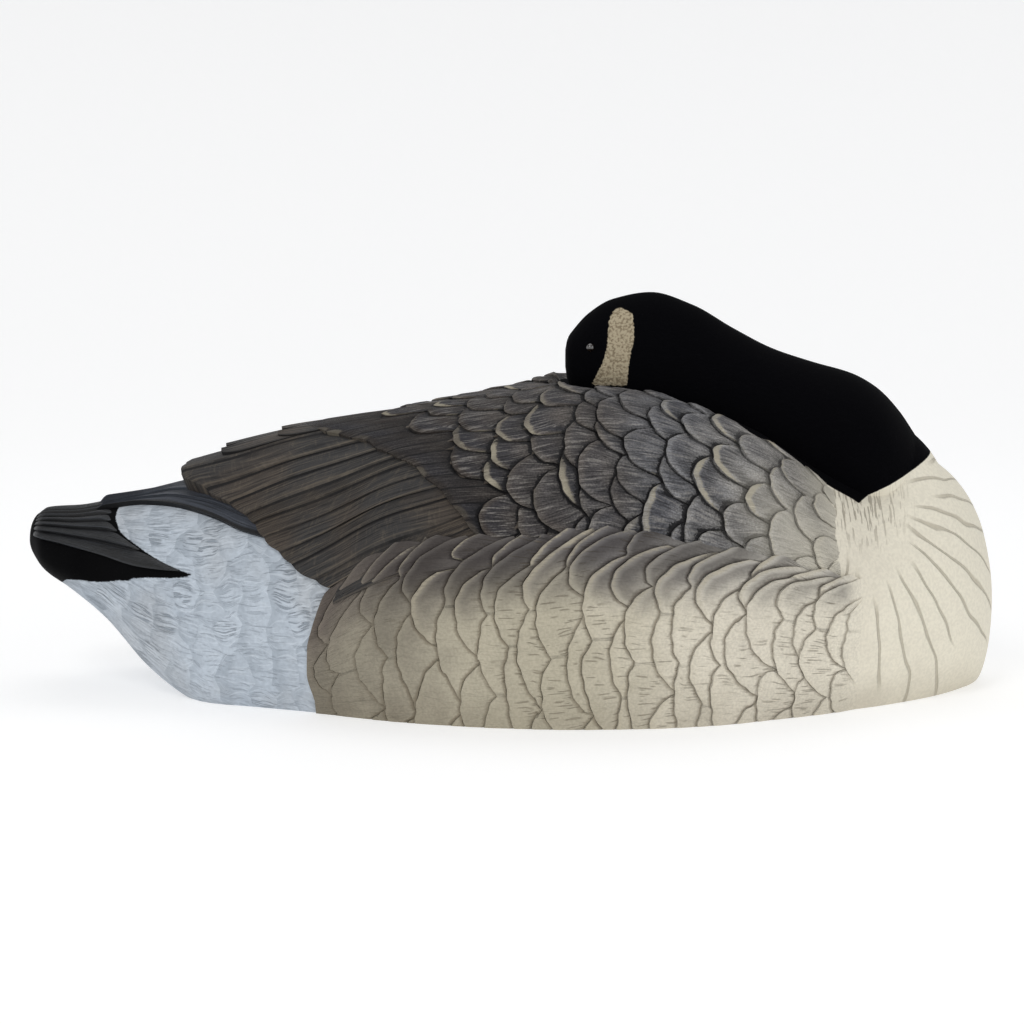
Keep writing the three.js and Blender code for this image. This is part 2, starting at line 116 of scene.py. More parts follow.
class Form:
    # the section at x: y = half * sin^(2/n), z = wide + reach * cos^(2/n), less a trough that fades off the
    # middle
    def __init__(self, stations, troughDepth=None, troughHalf=None):
        table = np.array(stations, float)
        self.first, self.last = table[0, 0], table[-1, 0]
        self.columns = [curve(table[:, (0, c)]) for c in range(1, 7)]
        self.dip = curve(troughDepth) if troughDepth else (lambda x: np.zeros_like(x))
        self.dipHalf = curve(troughHalf) if troughHalf else (lambda x: np.ones_like(x))
        self.tabulate()

    def point(self, x, angle):
        top, keel, half, wide, above, below = (column(x) for column in self.columns)
        across, up = np.sin(angle), np.cos(angle)
        power = 2 / np.where(up >= 0, above, below)
        y = half * np.sign(across) * np.abs(across) ** power
        z = wide + np.where(up >= 0, top - wide, wide - keel) * np.sign(up) * np.abs(up) ** power
        z = z - self.dip(x) * np.exp(-(y / self.dipHalf(x)) ** 2) * np.maximum(up, 0)
        return np.stack([x, y, z], -1)

    def normal(self, x, angle):
        along = self.point(x + 1, angle) - self.point(x - 1, angle)
        around = self.point(x, angle + 0.02) - self.point(x, angle - 0.02)
        across = np.cross(along, around)
        return across / np.linalg.norm(across, axis=-1, keepdims=True)

    def tabulate(self):
        # for each x of a table: the girth down to each angle, and the angle at even shares of the whole girth
        self.xs = np.linspace(self.first, self.last, 501)
        angles = np.linspace(0, pi, 181)
        x, angle = np.meshgrid(self.xs, angles, indexing="ij")
        spots = self.point(x, angle)
        girths = np.cumsum(np.linalg.norm(np.diff(spots, axis=1), axis=2), axis=1)
        girths = np.pad(girths, ((0, 0), (1, 0)))
        self.full = girths[:, -1]
        self.shares = np.linspace(0, 1, 181)
        self.angleTable = np.array([np.interp(self.shares * row[-1], row, angles) for row in girths])
        self.heights = np.array([np.interp(self.shares * row[-1], row, z) for row,
                                 z in zip(girths, spots[..., 2])])

    def lookUp(self, table, x, share):
        i = np.clip((x - self.first) / (self.last - self.first) * 500, 0, 499.999)
        j = np.clip(share * 180, 0, 179.999)
        i0, j0 = i.astype(int), j.astype(int)
        a, b = i - i0, j - j0
        return ((table[i0, j0] * (1 - b) + table[i0, j0 + 1] * b) * (1 - a)
                + (table[i0 + 1, j0] * (1 - b) + table[i0 + 1, j0 + 1] * b) * a)

    def fullGirth(self, x):
        return np.interp(x, self.xs, self.full)

    def angleAt(self, x, girth):
        share = np.abs(girth) / np.maximum(self.fullGirth(x), 1e-6)
        return np.sign(girth) * self.lookUp(self.angleTable, x, share)

    def girthAtHeight(self, x, height):
        # the first share of the girth below the widest point whose spot is lower than the height
        share = np.linspace(0.3, 1, 141)
        z = self.lookUp(self.heights, np.asarray(x)[..., None], np.broadcast_to(share, np.shape(x) + (141,)))
        return share[np.argmax(z < height, axis=-1)] * self.fullGirth(x)

    def lift(self, x, girth, rise):
        angle = self.angleAt(x, girth)
        return self.point(x, angle) + self.normal(x, angle) * rise[..., None]


skin = Form(body["stations"], body["troughDepth"], body["troughHalf"])
crown = Form(head["stations"])
print("forms ready")

# paint slots of the one piece
slots = ["rumpPaint", "breastPaint", "tailPaint", "primaryPaint", "wingPaint", "backPaint", "flankPaint",
         "headFlock", "eyeGlass", "insidePlastic"]
slotOf = {name: i for i, name in enumerate(slots)}


def meshOf(name, points, faces, maps, slot, vertexOf=None):
    # faces name spots; vertexOf joins the spots of a seam into one vertex, and each map keeps a value per
    # spot
    vertexOf = np.arange(len(points)) if vertexOf is None else vertexOf
    keep, first = np.unique(vertexOf, return_index=True)
    renumber = np.zeros(vertexOf.max() + 1, int)
    renumber[keep] = np.arange(len(keep))
    vertex = renumber[vertexOf]
    quads = faces[0]
    a, b, c, d = (points[quads[:, i]] for i in range(4))
    volume = np.einsum("ij,ij->", a, np.cross(b, c)) + np.einsum("ij,ij->", a, np.cross(c, d))
    if volume < 0:
        faces = [face[..., ::-1] for face in faces]
    lists = faces[0].tolist() + [face.tolist() for face in faces[1:]]
    mesh = bpy.data.meshes.new(name)
    mesh.from_pydata((points[first] * unit).tolist(), [], [vertex[face].tolist() for face in lists])
    corners = np.concatenate([np.ravel(face) for face in faces])
    for key, values in maps.items():
        mesh.uv_layers.new(name=key).data.foreach_set("uv", values[corners].astype(np.float32).ravel())
    indices = np.zeros(len(lists), np.int32)
    indices[:] = slot
    mesh.polygons.foreach_set("material_index", indices)
    for slotName in slots:
        mesh.materials.append(bpy.data.materials.get(slotName) or bpy.data.materials.new(slotName))
    piece = bpy.data.objects.new(name, mesh)
    bpy.context.scene.collection.objects.link(piece)
    return piece


def spotMaps(feather, paint):
    return {"feather": np.stack(feather, -1).reshape(-1, 2), "paint": np.stack(paint, -1).reshape(-1, 2)}


def slab(name, x, girth, rise, feather, paint, slot, sink=5.9):
    # the upper face is a grid of spots on the skin, the lower face the same grid sunk under it, and walls
    # close the edge
    rows, columns = x.shape
    size = rows * columns
    upper = skin.lift(x, girth, rise).reshape(-1, 3)
    lower = skin.lift(x, girth, np.minimum(rise, 0) - sink).reshape(-1, 3)
    index = np.arange(size).reshape(rows, columns)
    top = np.stack([index[:-1, :-1], index[:-1, 1:], index[1:, 1:], index[1:, :-1]], -1).reshape(-1, 4)

    def wall(a, b):
        return np.stack([a + size, b + size, b, a], -1)
    faces = np.concatenate([top, top[:, ::-1] + size, wall(index[0, :-1], index[0, 1:]),
                            wall(index[-1, 1:], index[-1, :-1]), wall(index[1:, 0], index[:-1, 0]),
                            wall(index[:-1, -1], index[1:, -1])])
    maps = {key: np.concatenate([value, value]) for key, value in spotMaps(feather, paint).items()}
    return meshOf(name, np.concatenate([upper, lower]), [faces], maps, slot)


def loft(name, points, feather, paint, slot):
    # rings of spots, the last column of each falling on the first, with a cap on both ends
    rows, columns = points.shape[:2]
    index = np.arange(rows * columns).reshape(rows, columns)
    vertexOf = index.copy()
    vertexOf[:, -1] = index[:, 0]
    quads = np.stack([index[:-1, :-1], index[:-1, 1:], index[1:, 1:], index[1:, :-1]], -1).reshape(-1, 4)
    if np.ndim(slot):
        slot = np.concatenate([np.ravel(slot), [slot[0, 0], slot[-1, -1]]])
    return meshOf(name, points.reshape(-1, 3), [quads, index[0, :-1][::-1], index[-1, :-1]],
                  spotMaps(feather, paint), slot, vertexOf.ravel())


def join(main, others, operation):
    for other in others:
        cut = main.modifiers.new(other.name, "BOOLEAN")
        cut.operation, cut.solver, cut.object = operation, "MANIFOLD", other
    result = bpy.data.meshes.new_from_object(main.evaluated_get(bpy.context.evaluated_depsgraph_get()))
    main.modifiers.clear()
    main.data = result
    for other in others:
        bpy.data.objects.remove(other)


# the plumage: how far it stands above the skin, and where its parts end
plumage = {
    "middleRise": [(-332, 25), (-290, 22), (-233, 19), (-178, 13), (-103, 8), (0, 6.5), (89, 6),
                   (297, 4.5), (372, 3)],
    "sideRise": [(-332, 9), (-148, 9), (0, 6), (372, 3)], "sideGirth": 150, "flankRise": 2.5,
    "flankTop": [(-181, 254), (-165, 247), (-142, 240), (-104, 241), (-61, 252), (-8, 270), (45, 284),
                 (90, 281), (140, 281), (175, 277), (210, 266), (245, 250), (280, 233), (315, 214),
                 (345, 198), (370, 186)],
    "flankRear": [(0, -180), (0.15, -190), (0.35, -199), (0.55, -200), (0.8, -193), (1, -192)],
    "wingRear": [(0, -332), (46, -332), (70, -320), (88, -305), (105, -290), (122, -275), (139, -262),
                 (155, -252), (172, -244), (184, -236), (196, -225), (221, -204), (241, -184), (256, -170)],
}
middleRise, sideRise = curve(plumage["middleRise"]), curve(plumage["sideRise"])
flankTop, flankRear, wingRear = (curve(plumage[key]) for key in ("flankTop", "flankRear", "wingRear"))


def cover(x, girth):
    side = ease(0.1, 1, np.abs(girth) / plumage["sideGirth"])
    return middleRise(x) * (1 - side) + sideRise(x) * side


# the painted edges of the tail, the neck and the cheek
edges = {
    # girth to x, above the black wedge
    "tailFront": [(59, -404), (82, -397), (106, -379), (134, -352), (164, -318)],
    # x to girth, below it
    "tailUnder": [(-476, 290), (-464, 141), (-452, 120), (-416, 131), (-373, 143), (-321, 164)],
    "neckAt": (386.8, 221), "neckSlope": 0.52,
    "neckSide": [(26, -30), (40, 0), (55, 60), (64, 70), (80, 68), (100, 63), (148, 57), (172, 63),
                 (196, 66), (220, 72), (248, 80), (280, 79), (304, 83), (340, 89), (352, 93), (358, 108),
                 (372, 150)],
    "cheekFront": [(312, 117), (338, 119), (364, 124), (385, 123), (392, 113)],  # z to x
    "cheekBack": [(312, 80), (340, 93), (355, 97), (372, 98), (384, 101), (392, 107)],
    "cheekTop": 391.5, "cheekFoot": 313.5,
}
tailFront, tailUnder, neckSide = (curve(edges[key]) for key in ("tailFront", "tailUnder", "neckSide"))
cheekFront, cheekBack = curve(edges["cheekFront"]), curve(edges["cheekBack"])


def aboveNeckEdge(points):
    # distance above the slanting plane where the black of the neck ends
    return (points[..., 2] - edges["neckAt"][1]) - edges["neckSlope"] * (points[..., 0] - edges["neckAt"][0])


breast = {"pole": (334, 108, 208), "middle": (312, 0, 168), "grooveStep": 10.5}


def fanCoordinates(points):
    # grooves are meridians round an axis from the middle of the breast to the corner of the neck, the same on
    # both sides
    pole, middle = np.array(breast["pole"], float), np.array(breast["middle"], float)
    axis = (pole - middle) / np.linalg.norm(pole - middle)
    east = np.cross(axis, (0, 0, 1))
    east /= np.linalg.norm(east)
    north = np.cross(east, axis)
    side = np.stack([points[..., 0], np.abs(points[..., 1]), points[..., 2]], -1)
    away = side - pole
    turn = np.degrees(np.arctan2(away @ north, away @ east))
    return turn / breast["grooveStep"], np.linalg.norm(away, axis=-1)


def buildBody():
    # lines crowd towards the blunt ends: x runs as a power of the line's number
    tail = -500 + 320 * np.linspace(0, 1, body["tailLines"]) ** 1.5
    middle = np.linspace(-180, 250, body["middleLines"])
    front = 500 - 250 * np.linspace(1, 0, body["breastLines"]) ** 1.6
    lines = np.concatenate([tail, middle[1:-1], front])
    x, share = np.meshgrid(lines, np.linspace(-1, 1, body["columns"] + 1), indexing="ij")
    girth = share * skin.fullGirth(x)
    angle = skin.angleAt(x, girth)
    points = skin.point(x, angle)
    black = np.minimum(tailFront(np.abs(girth)) - x, tailUnder(x) - np.abs(girth))
    turn, away = fanCoordinates(points)
    rear = x < -100
    above = np.minimum(aboveNeckEdge(points), neckSide(x + 8) + 10 - np.abs(girth))
    feather = (np.where(rear, share * body["shareWidth"], turn), np.where(rear, x, away))
    paint = (np.where(rear, black, -90), np.where(rear, x, above))
    slot = np.where(above[:-1, :-1] > 6, slotOf["headFlock"], slotOf["breastPaint"])
    slot = np.where(rear[:-1, :-1], slotOf["rumpPaint"], slot)
    return loft("bodySkin", points, feather, paint, slot)


def buildHead():
    t = np.linspace(0, 1, head["lines"])
    lines = crown.first + (crown.last - crown.first) * (0.65 * (0.5 - 0.5 * np.cos(pi * t)) + 0.35 * t)
    x, angle = np.meshgrid(lines, np.linspace(-pi, pi, head["columns"] + 1), indexing="ij")
    points = crown.point(x, angle)
    z = points[..., 2]
    sides = np.minimum(x - cheekBack(z), cheekFront(z) - x)
    ends = np.minimum(edges["cheekTop"] - z, z - edges["cheekFoot"])
    cheek = np.minimum(sides, ends)
    turn, away = fanCoordinates(points)
    return loft("headForm", points, (turn, away), (cheek, aboveNeckEdge(points)), slotOf["headFlock"])


noScale = 2000  # a place past every scale, where a scale doesn't reach
farInside = 50  # a distance from a painted edge at which it no longer shows


def lappedScales(group, scales, width, lineAt, front, seed):
    # each scale has a round tip, and those of row k + 1 stand half a scale beside those of row k and lap
    # over them, so that a scale shows from its own tip to the nearest tips in front; v runs 0 to 1 between
    # these, and s counts scales
    rows, count = group["rows"], int(scales[1] - scales[0]) + 3
    s = np.linspace(*scales, int(round((scales[1] - scales[0]) * group["perScale"])) + 1)
    chance = np.random.default_rng(seed).uniform(-1, 1, (5, rows, count, 1))
    k, number = np.arange(rows)[:, None, None], np.arange(count)[None, :, None]
    centre = scales[0] - 1 + number + (k % 2) / 2 + group["stray"] * chance[0]
    t = (s - centre) / (group["half"] * (1 + group["uneven"] * chance[1]))
    roundness = (1 - np.minimum(1, np.abs(t)) ** 2.2) ** group["fullness"]
    tip = group["depth"] * (1 + group["uneven"] * chance[2]) * roundness
    edge = lineAt(k, s, centre) + group["tilt"] * chance[3] * t + group["scatter"] * chance[4] - tip
    edge = edge + group["jag"] * wander(s * width, 47 * k, 4, 1.9)
    edge = np.where(np.abs(t) < 1, edge, noScale)
    edge = np.where(k == 0, lineAt(k, s, s), edge)  # the first row is one long edge of narrow feathers
    own = np.argmin(edge, axis=1)[:, None]
    least = 0.6 * np.arange(rows + 1)[:, None]  # a covered band still has this width
    line = np.concatenate([np.take_along_axis(edge, own, 1)[:, 0], front + 0 * s[None]]) + least
    line = np.minimum.accumulate(line[::-1])[::-1] - least
    slant = np.sqrt(1 + np.gradient(line, s * width, axis=1) ** 2)[:, None]
    v = np.array(group["zone"])[None, :, None]
    rear, wide = line[:-1, None], line[1:, None] - line[:-1, None]
    # the foot of each step stands a little behind the tip
    x = rear + wide * v - np.minimum(0.9, wide / 2) * (v == 1)
    side = np.clip(np.take_along_axis(t, own, 1), -1, 1)
    place = own + 0.5 + 0.49 * side
    strip = s * group["strips"] + 60
    place = np.where(k == 0, strip, place)
    side = np.where(k == 0, 2 * (strip % 1) - 1, side)
    fromTip = k + np.clip((x - rear) / slant[:-1] / 128, 0.0005, 0.9995)
    rounded = 1 - group["crowned"] * np.abs(side) ** 3
    high = rounded * (1 - v) ** 0.9 * (0.55 + 0.45 * ease(0, 0.12, v)) * ease(0.6, 5, wide)
    groove = ease(0.86, 1, v) * ease(0.6, 5, wide)
    toNext = (rear + wide - x) / slant[1:]
    grids = np.broadcast_arrays(x, s, place, fromTip, high, groove, toNext)
    return [grid.reshape(-1, s.size) for grid in grids]


back = {"rows": 21, "perSide": 3.9, "width": 72, "perScale": 17, "coverts": -223, "start": -122,
        "spacing": 24, "half": 0.42, "depth": 29, "fullness": 0.5, "stray": 0.13, "uneven": 0.24, "tilt": 5,
        "scatter": 6.5, "front": 350, "strips": 4, "jag": 1.3, "lapEdge": 14, "dive": 8, "step": 3.4,
        "crowned": 0.4, "groove": 1.2, "sunk": 4.4, "ending": (292, 344), "slope": 18,
        "sweep": [(-223, 0.72), (-130, 0.46), (-60, 0.35), (0, 0.25), (60, 0.15), (120, 0.06), (200, 0),
                  (400, -0.02)], "zone": (0, 0.05, 0.16, 0.5, 0.87, 1),}


def buildBack():
    sweep = curve(back["sweep"])
    reach = back["perSide"]

    def lineAt(k, s, centre):
        # the first row is a broad band of coverts, with an edge that is only a little uneven
        base = np.where(k == 0, back["coverts"], back["start"] + back["spacing"] * (k - 1))
        line = base + sweep(base) * np.abs(centre * back["width"])
        return line + np.where(k == 0, 3.5 * wander(s, 0, 0.13, 0.7), back["depth"] / 2)
    x, s, place, fromTip, high, groove, toNext = lappedScales(back, (-reach, reach), back["width"], lineAt,
                                                              back["front"], 5)
    girth = s / reach * (flankTop(x) + back["lapEdge"])
    high = cover(x, girth) + back["step"] * high - back["groove"] * groove
    high = high - back["dive"] * ease(0, 12, np.abs(girth) - flankTop(x))
    beside = np.abs(girth) - neckSide(x) + 2.5 * wander(x, girth, 5, 0.3)  # the frayed edge along the neck
    shown = ease(0, back["slope"], beside) * (1 - ease(*back["ending"], x))
    return slab("backScales", x, girth, (high + back["sunk"]) * shown - back["sunk"], (place, fromTip),
                (beside, toNext), slotOf["backPaint"])


flank = {"rows": 28, "scales": 2.4, "perScale": 25, "spacing": 20, "half": 0.54, "depth": 22,
         "fullness": 0.75, "stray": 0.13, "uneven": 0.24, "tilt": 6, "scatter": 3.5, "front": 366,
         "lean": (40, 0.27), "lip": (2, 0.45), "step": (2.8, 1.5), "crowned": 0.4, "groove": (1.2, 0.8),
         "bottom": -8, "fade": (316, 354), "sunk": 1.2, "gather": 1.1, "zone": (0, 0.05, 0.16, 0.5, 0.87, 1),
         "waver": 3, "hump": 7, "nearRim": 200, "strips": 1.3, "jag": 1.4, "plain": 60,
         "smooth": (-165, -95),}


def buildFlank(side):
    def shareAt(s):
        return np.clip(s / flank["scales"], 0, 1) ** flank["gather"]

    def lineAt(k, s, centre):
        over, overShare = flank["lean"]
        forward = over * np.maximum(0, 1 - shareAt(s) / overShare) ** 2 * np.minimum(1, k / 2)
        line = flankRear(shareAt(s)) + flank["spacing"] * k + forward + flank["waver"] * wander(90 * s,
                                                                                                40 * k, 25,
                                                                                                2.2)
        return np.where(k == 0, flankRear(shareAt(s)), line + flank["depth"] * 0.4)
    x, s, place, fromTip, high, groove, toNext = lappedScales(flank, (0, flank["scales"]),
                                                              flank["nearRim"] / flank["scales"], lineAt,
                                                              flank["front"], 11)
    v = shareAt(s)
    high = high * (0.25 + 0.75 * ease(0, flank["plain"], x - flankRear(v)))  # nearly plain along the rump
    carved = ease(*flank["smooth"], x)  # and along the end of the wing
    girth = flankTop(x) + (skin.girthAtHeight(x, flank["bottom"]) - flankTop(x)) * v
    # the upper end of each feather is rounded off, so that the row of ends is humped
    girth = girth + flank["hump"] * carved * (0.7 - high) * (1 - ease(0, 0.4, s))
    depth = (girth - flankTop(x)) / (skin.girthAtHeight(x, flank["bottom"]) - flankTop(x))
    lipOver, lipShare = flank["lip"]
    low = ease(0, lipShare, depth)
    base = (cover(x, flankTop(x)) + (lipOver + 2) * carved - 2) * (1 - low) + plumage["flankRise"] * low
    step = flank["step"][0] + (flank["step"][1] - flank["step"][0]) * low
    cut = flank["groove"][0] + (flank["groove"][1] - flank["groove"][0]) * low
    rise = base + step * high - cut * groove - 2 * (1 - ease(0, 0.1, s))
    rise = (rise + flank["sunk"]) * (1 - ease(*flank["fade"], x)) - flank["sunk"]
    return slab("flankScales" + ("Far" if side > 0 else "Near"), x, side * girth, rise, (place, fromTip),
                (girth - flankTop(x), toNext), slotOf["flankPaint"])


def stripColumns(strips, perStrip, slit):
    # across a strip f runs 0 at the edge that is lapped over to 1 at the free edge
    f = np.linspace(0, 1, perStrip)
    k = np.repeat(np.arange(strips), perStrip)
    f = np.tile(f, strips)
    return k + slit + (1 - 2 * slit) * f, f, k


def stripRise(f, lap, strength=1):
    # a strip climbs to a lip along its free edge, with a low quill ridge down its middle
    lip = 0.84 * f ** 1.3 + 0.16 * np.exp(-((f - 0.93) / 0.07) ** 2)
    return lap * (strength * lip + 0.1 * np.exp(-((f - 0.5) / 0.05) ** 2) - 1)


wing = {"dorsalStrips": 2, "dorsalWidth": 45, "strips": 11, "stripWidth": 20, "lap": 2.3, "slit": 0.04,
        "front": 26, "lines": 72, "perStrip": 10, "narrow": (-164, 149, 0.13), "waver": 3.4, "uneven": 0.42,
        "tipRound": 1.5,}


def buildWings():
    s, f, k = stripColumns(wing["strips"], wing["perStrip"], wing["slit"])
    s, f, k = (np.concatenate([-s[::-1], s]), np.concatenate([f[::-1], f]), np.concatenate([k[::-1], k]))
    chance = np.random.default_rng(3)
    width = wing["stripWidth"] * (1 + wing["uneven"] * chance.uniform(-1, 1, wing["strips"]))
    width[:wing["dorsalStrips"]] = wing["dorsalWidth"]
    width[wing["dorsalStrips"]:] *= wing["stripWidth"] / width[wing["dorsalStrips"]:].mean()
    strength = chance.uniform(0.7, 1.4, wing["strips"])[k]
    spread = np.interp(np.abs(s), np.arange(wing["strips"] + 1), np.concatenate([[0], np.cumsum(width)]))
    t = np.linspace(0, 1, wing["lines"])[:, None] ** 1.15
    rear = wingRear(spread)[None]
    x = rear + (wing["front"] - rear) * t - wing["tipRound"] * (1 - (2 * f - 1) ** 2) * (1 - t) ** 6
    begin, over, by = wing["narrow"]
    taper = 1 - by * (np.maximum(0, begin - x) / over) ** 2
    girth = np.sign(s) * spread * taper
    girth = girth + np.sign(s) * wing["waver"] * wander(x, 37 * k, 33, 2.6) * ease(0, 60, np.abs(girth))
    rise = cover(x, girth) + stripRise(f, wing["lap"],
                                       strength) - 1.5 * (1 - ease(0, 7, x - rear + wing["tipRound"]))
    number = k + 0 * t
    return slab("wingFeathers", x, girth, rise, (number + np.clip(f, 0.001, 0.999), x - rear),
                (farInside + 0 * x, x), slotOf["wingPaint"])


primary = {"edge": [(-436, 20), (-430, 27), (-411, 32), (-392, 37), (-364, 54), (-336, 76), (-314, 98),
                    (-292, 120), (-270, 143), (-250, 160), (-217, 190), (-181, 230)], "strips": 3,
           "stripWidth": 19, "lap": 2.4, "rise": 5.5, "ridge": (4.5, -350), "slope": 18, "covered": 0.9,
           "lines": 80, "perStrip": 10, "slit": 0.04,}


def buildPrimaries():
    edge = curve(primary["edge"])
    x = np.linspace(primary["edge"][0][0], primary["edge"][-1][0], primary["lines"])[:, None]
    s, f, k = stripColumns(primary["strips"], primary["perStrip"], primary["slit"])
    width = np.minimum(primary["stripWidth"], edge(x) / primary["strips"] * primary["covered"])
    girth = edge(x) - s * width
    start = primary["edge"][0][0]
    risen = ease(start, start + primary["slope"], x)
    rise = (primary["rise"] + 1 + stripRise(1 - f, primary["lap"])) * risen - 1
    ridge, ridgeEnd = primary["ridge"]
    middle = (primary["rise"] + 1 + ridge * (1 - ease(start, ridgeEnd, x))) * risen - 1
    girth = np.concatenate([-girth, 0 * x, girth[:, ::-1]], 1)
    rise = np.concatenate([rise, middle, rise[:, ::-1]], 1)
    number = np.concatenate([k + np.clip(1 - f, 0.001, 0.999), [7], (k + np.clip(1 - f, 0.001, 0.999))[::-1]])
    x = x + 0 * girth
    return slab("primaryFeathers", x, girth, rise, (number + 0 * x, x + 430), (edge(x) - np.abs(girth), x),
                slotOf["primaryPaint"])


tail = {"front": [(0, -390), (0.1, -390), (0.13, -405), (0.217, -404), (0.286, -397), (0.343, -379),
                  (0.386, -352), (0.43, -318)], "raised": (-430, -320, 0.07), "strips": 7, "share": 0.0607,
        "ridge": 5, "groove": 1, "sunk": 1, "tip": -495, "fade": (12, 18), "lines": 50, "perStrip": 9,
        "slit": 0.04,}


def buildTail():
    front = curve(tail["front"])
    s, f, k = stripColumns(tail["strips"], tail["perStrip"], tail["slit"])
    t = np.linspace(0, 1, tail["lines"])[:, None]
    end = front(s * tail["share"])[None]
    x = tail["tip"] + (end - tail["tip"]) * t
    fade = ease(tail["tip"], tail["tip"] + tail["fade"][0], x) - ease(end - tail["fade"][1], end, x)
    ridge = tail["groove"] + (tail["ridge"] - tail["groove"]) * f ** 0.9 * (1 - 0.25 * ease(0.9, 1, f))
    begin, over, by = tail["raised"]  # the lower edge draws up from the black below it
    girth = skin.fullGirth(x) * s * tail["share"] * (1 - by * ease(begin, over, x) * s / tail["strips"])
    rise = ridge * fade - tail["sunk"]
    u = k + np.clip(f, 0.001, 0.999) + 0 * x
    girth, rise, x, u = (np.concatenate([a[:, ::-1] * sign, a], 1) for a,
                         sign in ((girth, -1), (rise, 1), (x, 1), (u, 1)))
    return slab("tailFeathers", x, girth, rise, (u, x + 500), (farInside + 0 * x, x), slotOf["tailPaint"])


leaf = {"tips": (-290, -233), "middle": 21, "halfWidth": 20, "reach": 75, "lift": 4, "crowned": 0.4,
        "sloping": 0.9, "roundness": 0.4, "bluntness": 0.02, "closing": 1.6, "lines": 24, "columns": 20,}


def buildLeaf(tip, side):
    # a broad feather whose width opens from its tip as a quarter of an ellipse, crowned across and sloping
    # down forwards
    u = np.linspace(0, 1, leaf["lines"])[:, None] ** leaf["closing"]
    v = np.linspace(-1, 1, leaf["columns"] + 1)[None]
    opened = np.sqrt(1 - np.maximum(0, 1 - (u + leaf["bluntness"]) / leaf["roundness"]) ** 2)
    x = tip + u * leaf["reach"] + 0 * v
    girth = side * leaf["middle"] + leaf["halfWidth"] * opened * v
    quill = 0.25 * np.exp(-(v / 0.07) ** 2)
    rise = cover(x, girth) + leaf["lift"] * (1 - leaf["crowned"] * v * v + quill) * (1 - leaf["sloping"] * u)
    feather = (np.clip(0.5 + v / 2, 0.001, 0.999) + side + 20 + 0 * u, u * leaf["reach"] + 0 * v)
    return slab(f"leaf{abs(tip)}{'Far' if side > 0 else 'Near'}", x, girth, rise, feather,
                (farInside + 0 * x, x), slotOf["wingPaint"])


eye = {"radius": 4.4, "at": (80, 33.5, 352), "lines": 24, "columns": 32}


def buildEye(side):
    # a ball: latitude and longitude
    latitude, turn = np.meshgrid(np.linspace(0.02, pi - 0.02, eye["lines"]),
                                 np.linspace(-pi, pi, eye["columns"] + 1), indexing="ij")
    x, y, z = eye["at"]
    ring = np.sin(latitude)
    points = np.stack([ring * np.cos(turn), ring * np.sin(turn), np.cos(latitude)], -1) * eye["radius"]
    points = points + np.array([x, side * y, z])
    return loft("eye" + ("Far" if side > 0 else "Near"), points, (turn, latitude), (turn, latitude),
                slotOf["eyeGlass"])


hollow = {"wall": 3.2 / 0.6725,  # 3.2 mm in thousandths of a length of 672.5 mm
          "body": (-446, 493), "head": (62, 446), "lines": 72, "columns": 72,
          "rearBlend": 70, "front": (230, 290), "flankBlend": 30, "neckGap": 9, "nape": (0, 30)}


def buildHollows():
    # the same forms set in by the wall, and under the plumage set out again by its height, save beside the
    # head
    inner = Form(body["stations"], [(x, max(0, dip)) for x, dip in body["troughDepth"]], body["troughHalf"])
    pieces = []
    for form, (start, end), name in ((inner, hollow["body"], "bodyHollow"),
                                     (crown, hollow["head"], "headHollow")):
        t = np.linspace(0, 1, hollow["lines"])
        lines = start + (end - start) * (0.6 * (0.5 - 0.5 * np.cos(pi * t)) + 0.4 * t)
        x, share = np.meshgrid(lines, np.linspace(-1, 1, hollow["columns"] + 1), indexing="ij")
        girth = share * form.fullGirth(x)
        rise = 0 * x - hollow["wall"]
        if form is inner:
            reach = np.abs(girth)
            covered = np.maximum(0, ease(0, hollow["rearBlend"], x - wingRear(reach))
                                 - ease(*hollow["front"], x))
            feathered = ease(hollow["neckGap"], hollow["neckGap"] + back["slope"], reach - neckSide(x))
            # none beside the head and neck
            covered = covered * np.maximum(feathered, 1 - ease(*hollow["nape"], x))
            low = ease(0, hollow["flankBlend"], reach - flankTop(x))
            rise = rise + covered * (cover(x, reach) * (1 - low) + plumage["flankRise"] * low)
        points = form.lift(x, girth, rise)
        pieces.append(loft(name, points, (girth, x), (girth, x), slotOf["insidePlastic"]))
    return pieces


def buildGround():
    # everything below the floor is cut away
    corner = np.array([[x, y, z] for x in (-1, 1) for y in (-1, 1) for z in (-1, 0)], float) * (900, 900, 400)
    faces = np.array([[0, 1, 3, 2], [4, 6, 7, 5], [0, 4, 5, 1], [2, 3, 7, 6], [0, 2, 6, 4], [1, 5, 7, 3]])
    flat = np.zeros((8, 2))
    return meshOf("ground", corner, [faces], {"feather": flat, "paint": flat}, slotOf["insidePlastic"])


def buildShell():
    shell = buildBody()
    parts = [buildHead(), buildTail(), buildPrimaries(), buildWings(), buildBack(), buildFlank(-1),
             buildFlank(1), buildEye(-1),
             buildEye(1)] + [buildLeaf(tip, side) for tip in leaf["tips"] for side in (-1, 1)]
    print("shell parts ready")
    join(shell, parts, "UNION")
    join(shell, buildHollows() + [buildGround()], "DIFFERENCE")
    shell.name = shell.data.name = "gooseShell"
    shell.data.shade_smooth()
    shell.data.set_sharp_from_angle(angle=math.radians(42))
    shell.data.calc_loop_triangles()
    print("shell joined:", len(shell.data.loop_triangles), "triangles")
    return shell


gooseShell = buildShell()
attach(gooseShell, "root")
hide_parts("goose_shell")


# node helpers: a value is a number, a colour or another node's socket
def add(tree, kind, inputs=None, **settings):
    node = tree.nodes.new(kind)
    for key, value in settings.items():
        setattr(node, key, value)
    for key, value in (inputs or {}).items():
        if isinstance(value, bpy.types.NodeSocket):
            tree.links.new(value, node.inputs[key])
        else:
            node.inputs[key].default_value = value
    return node


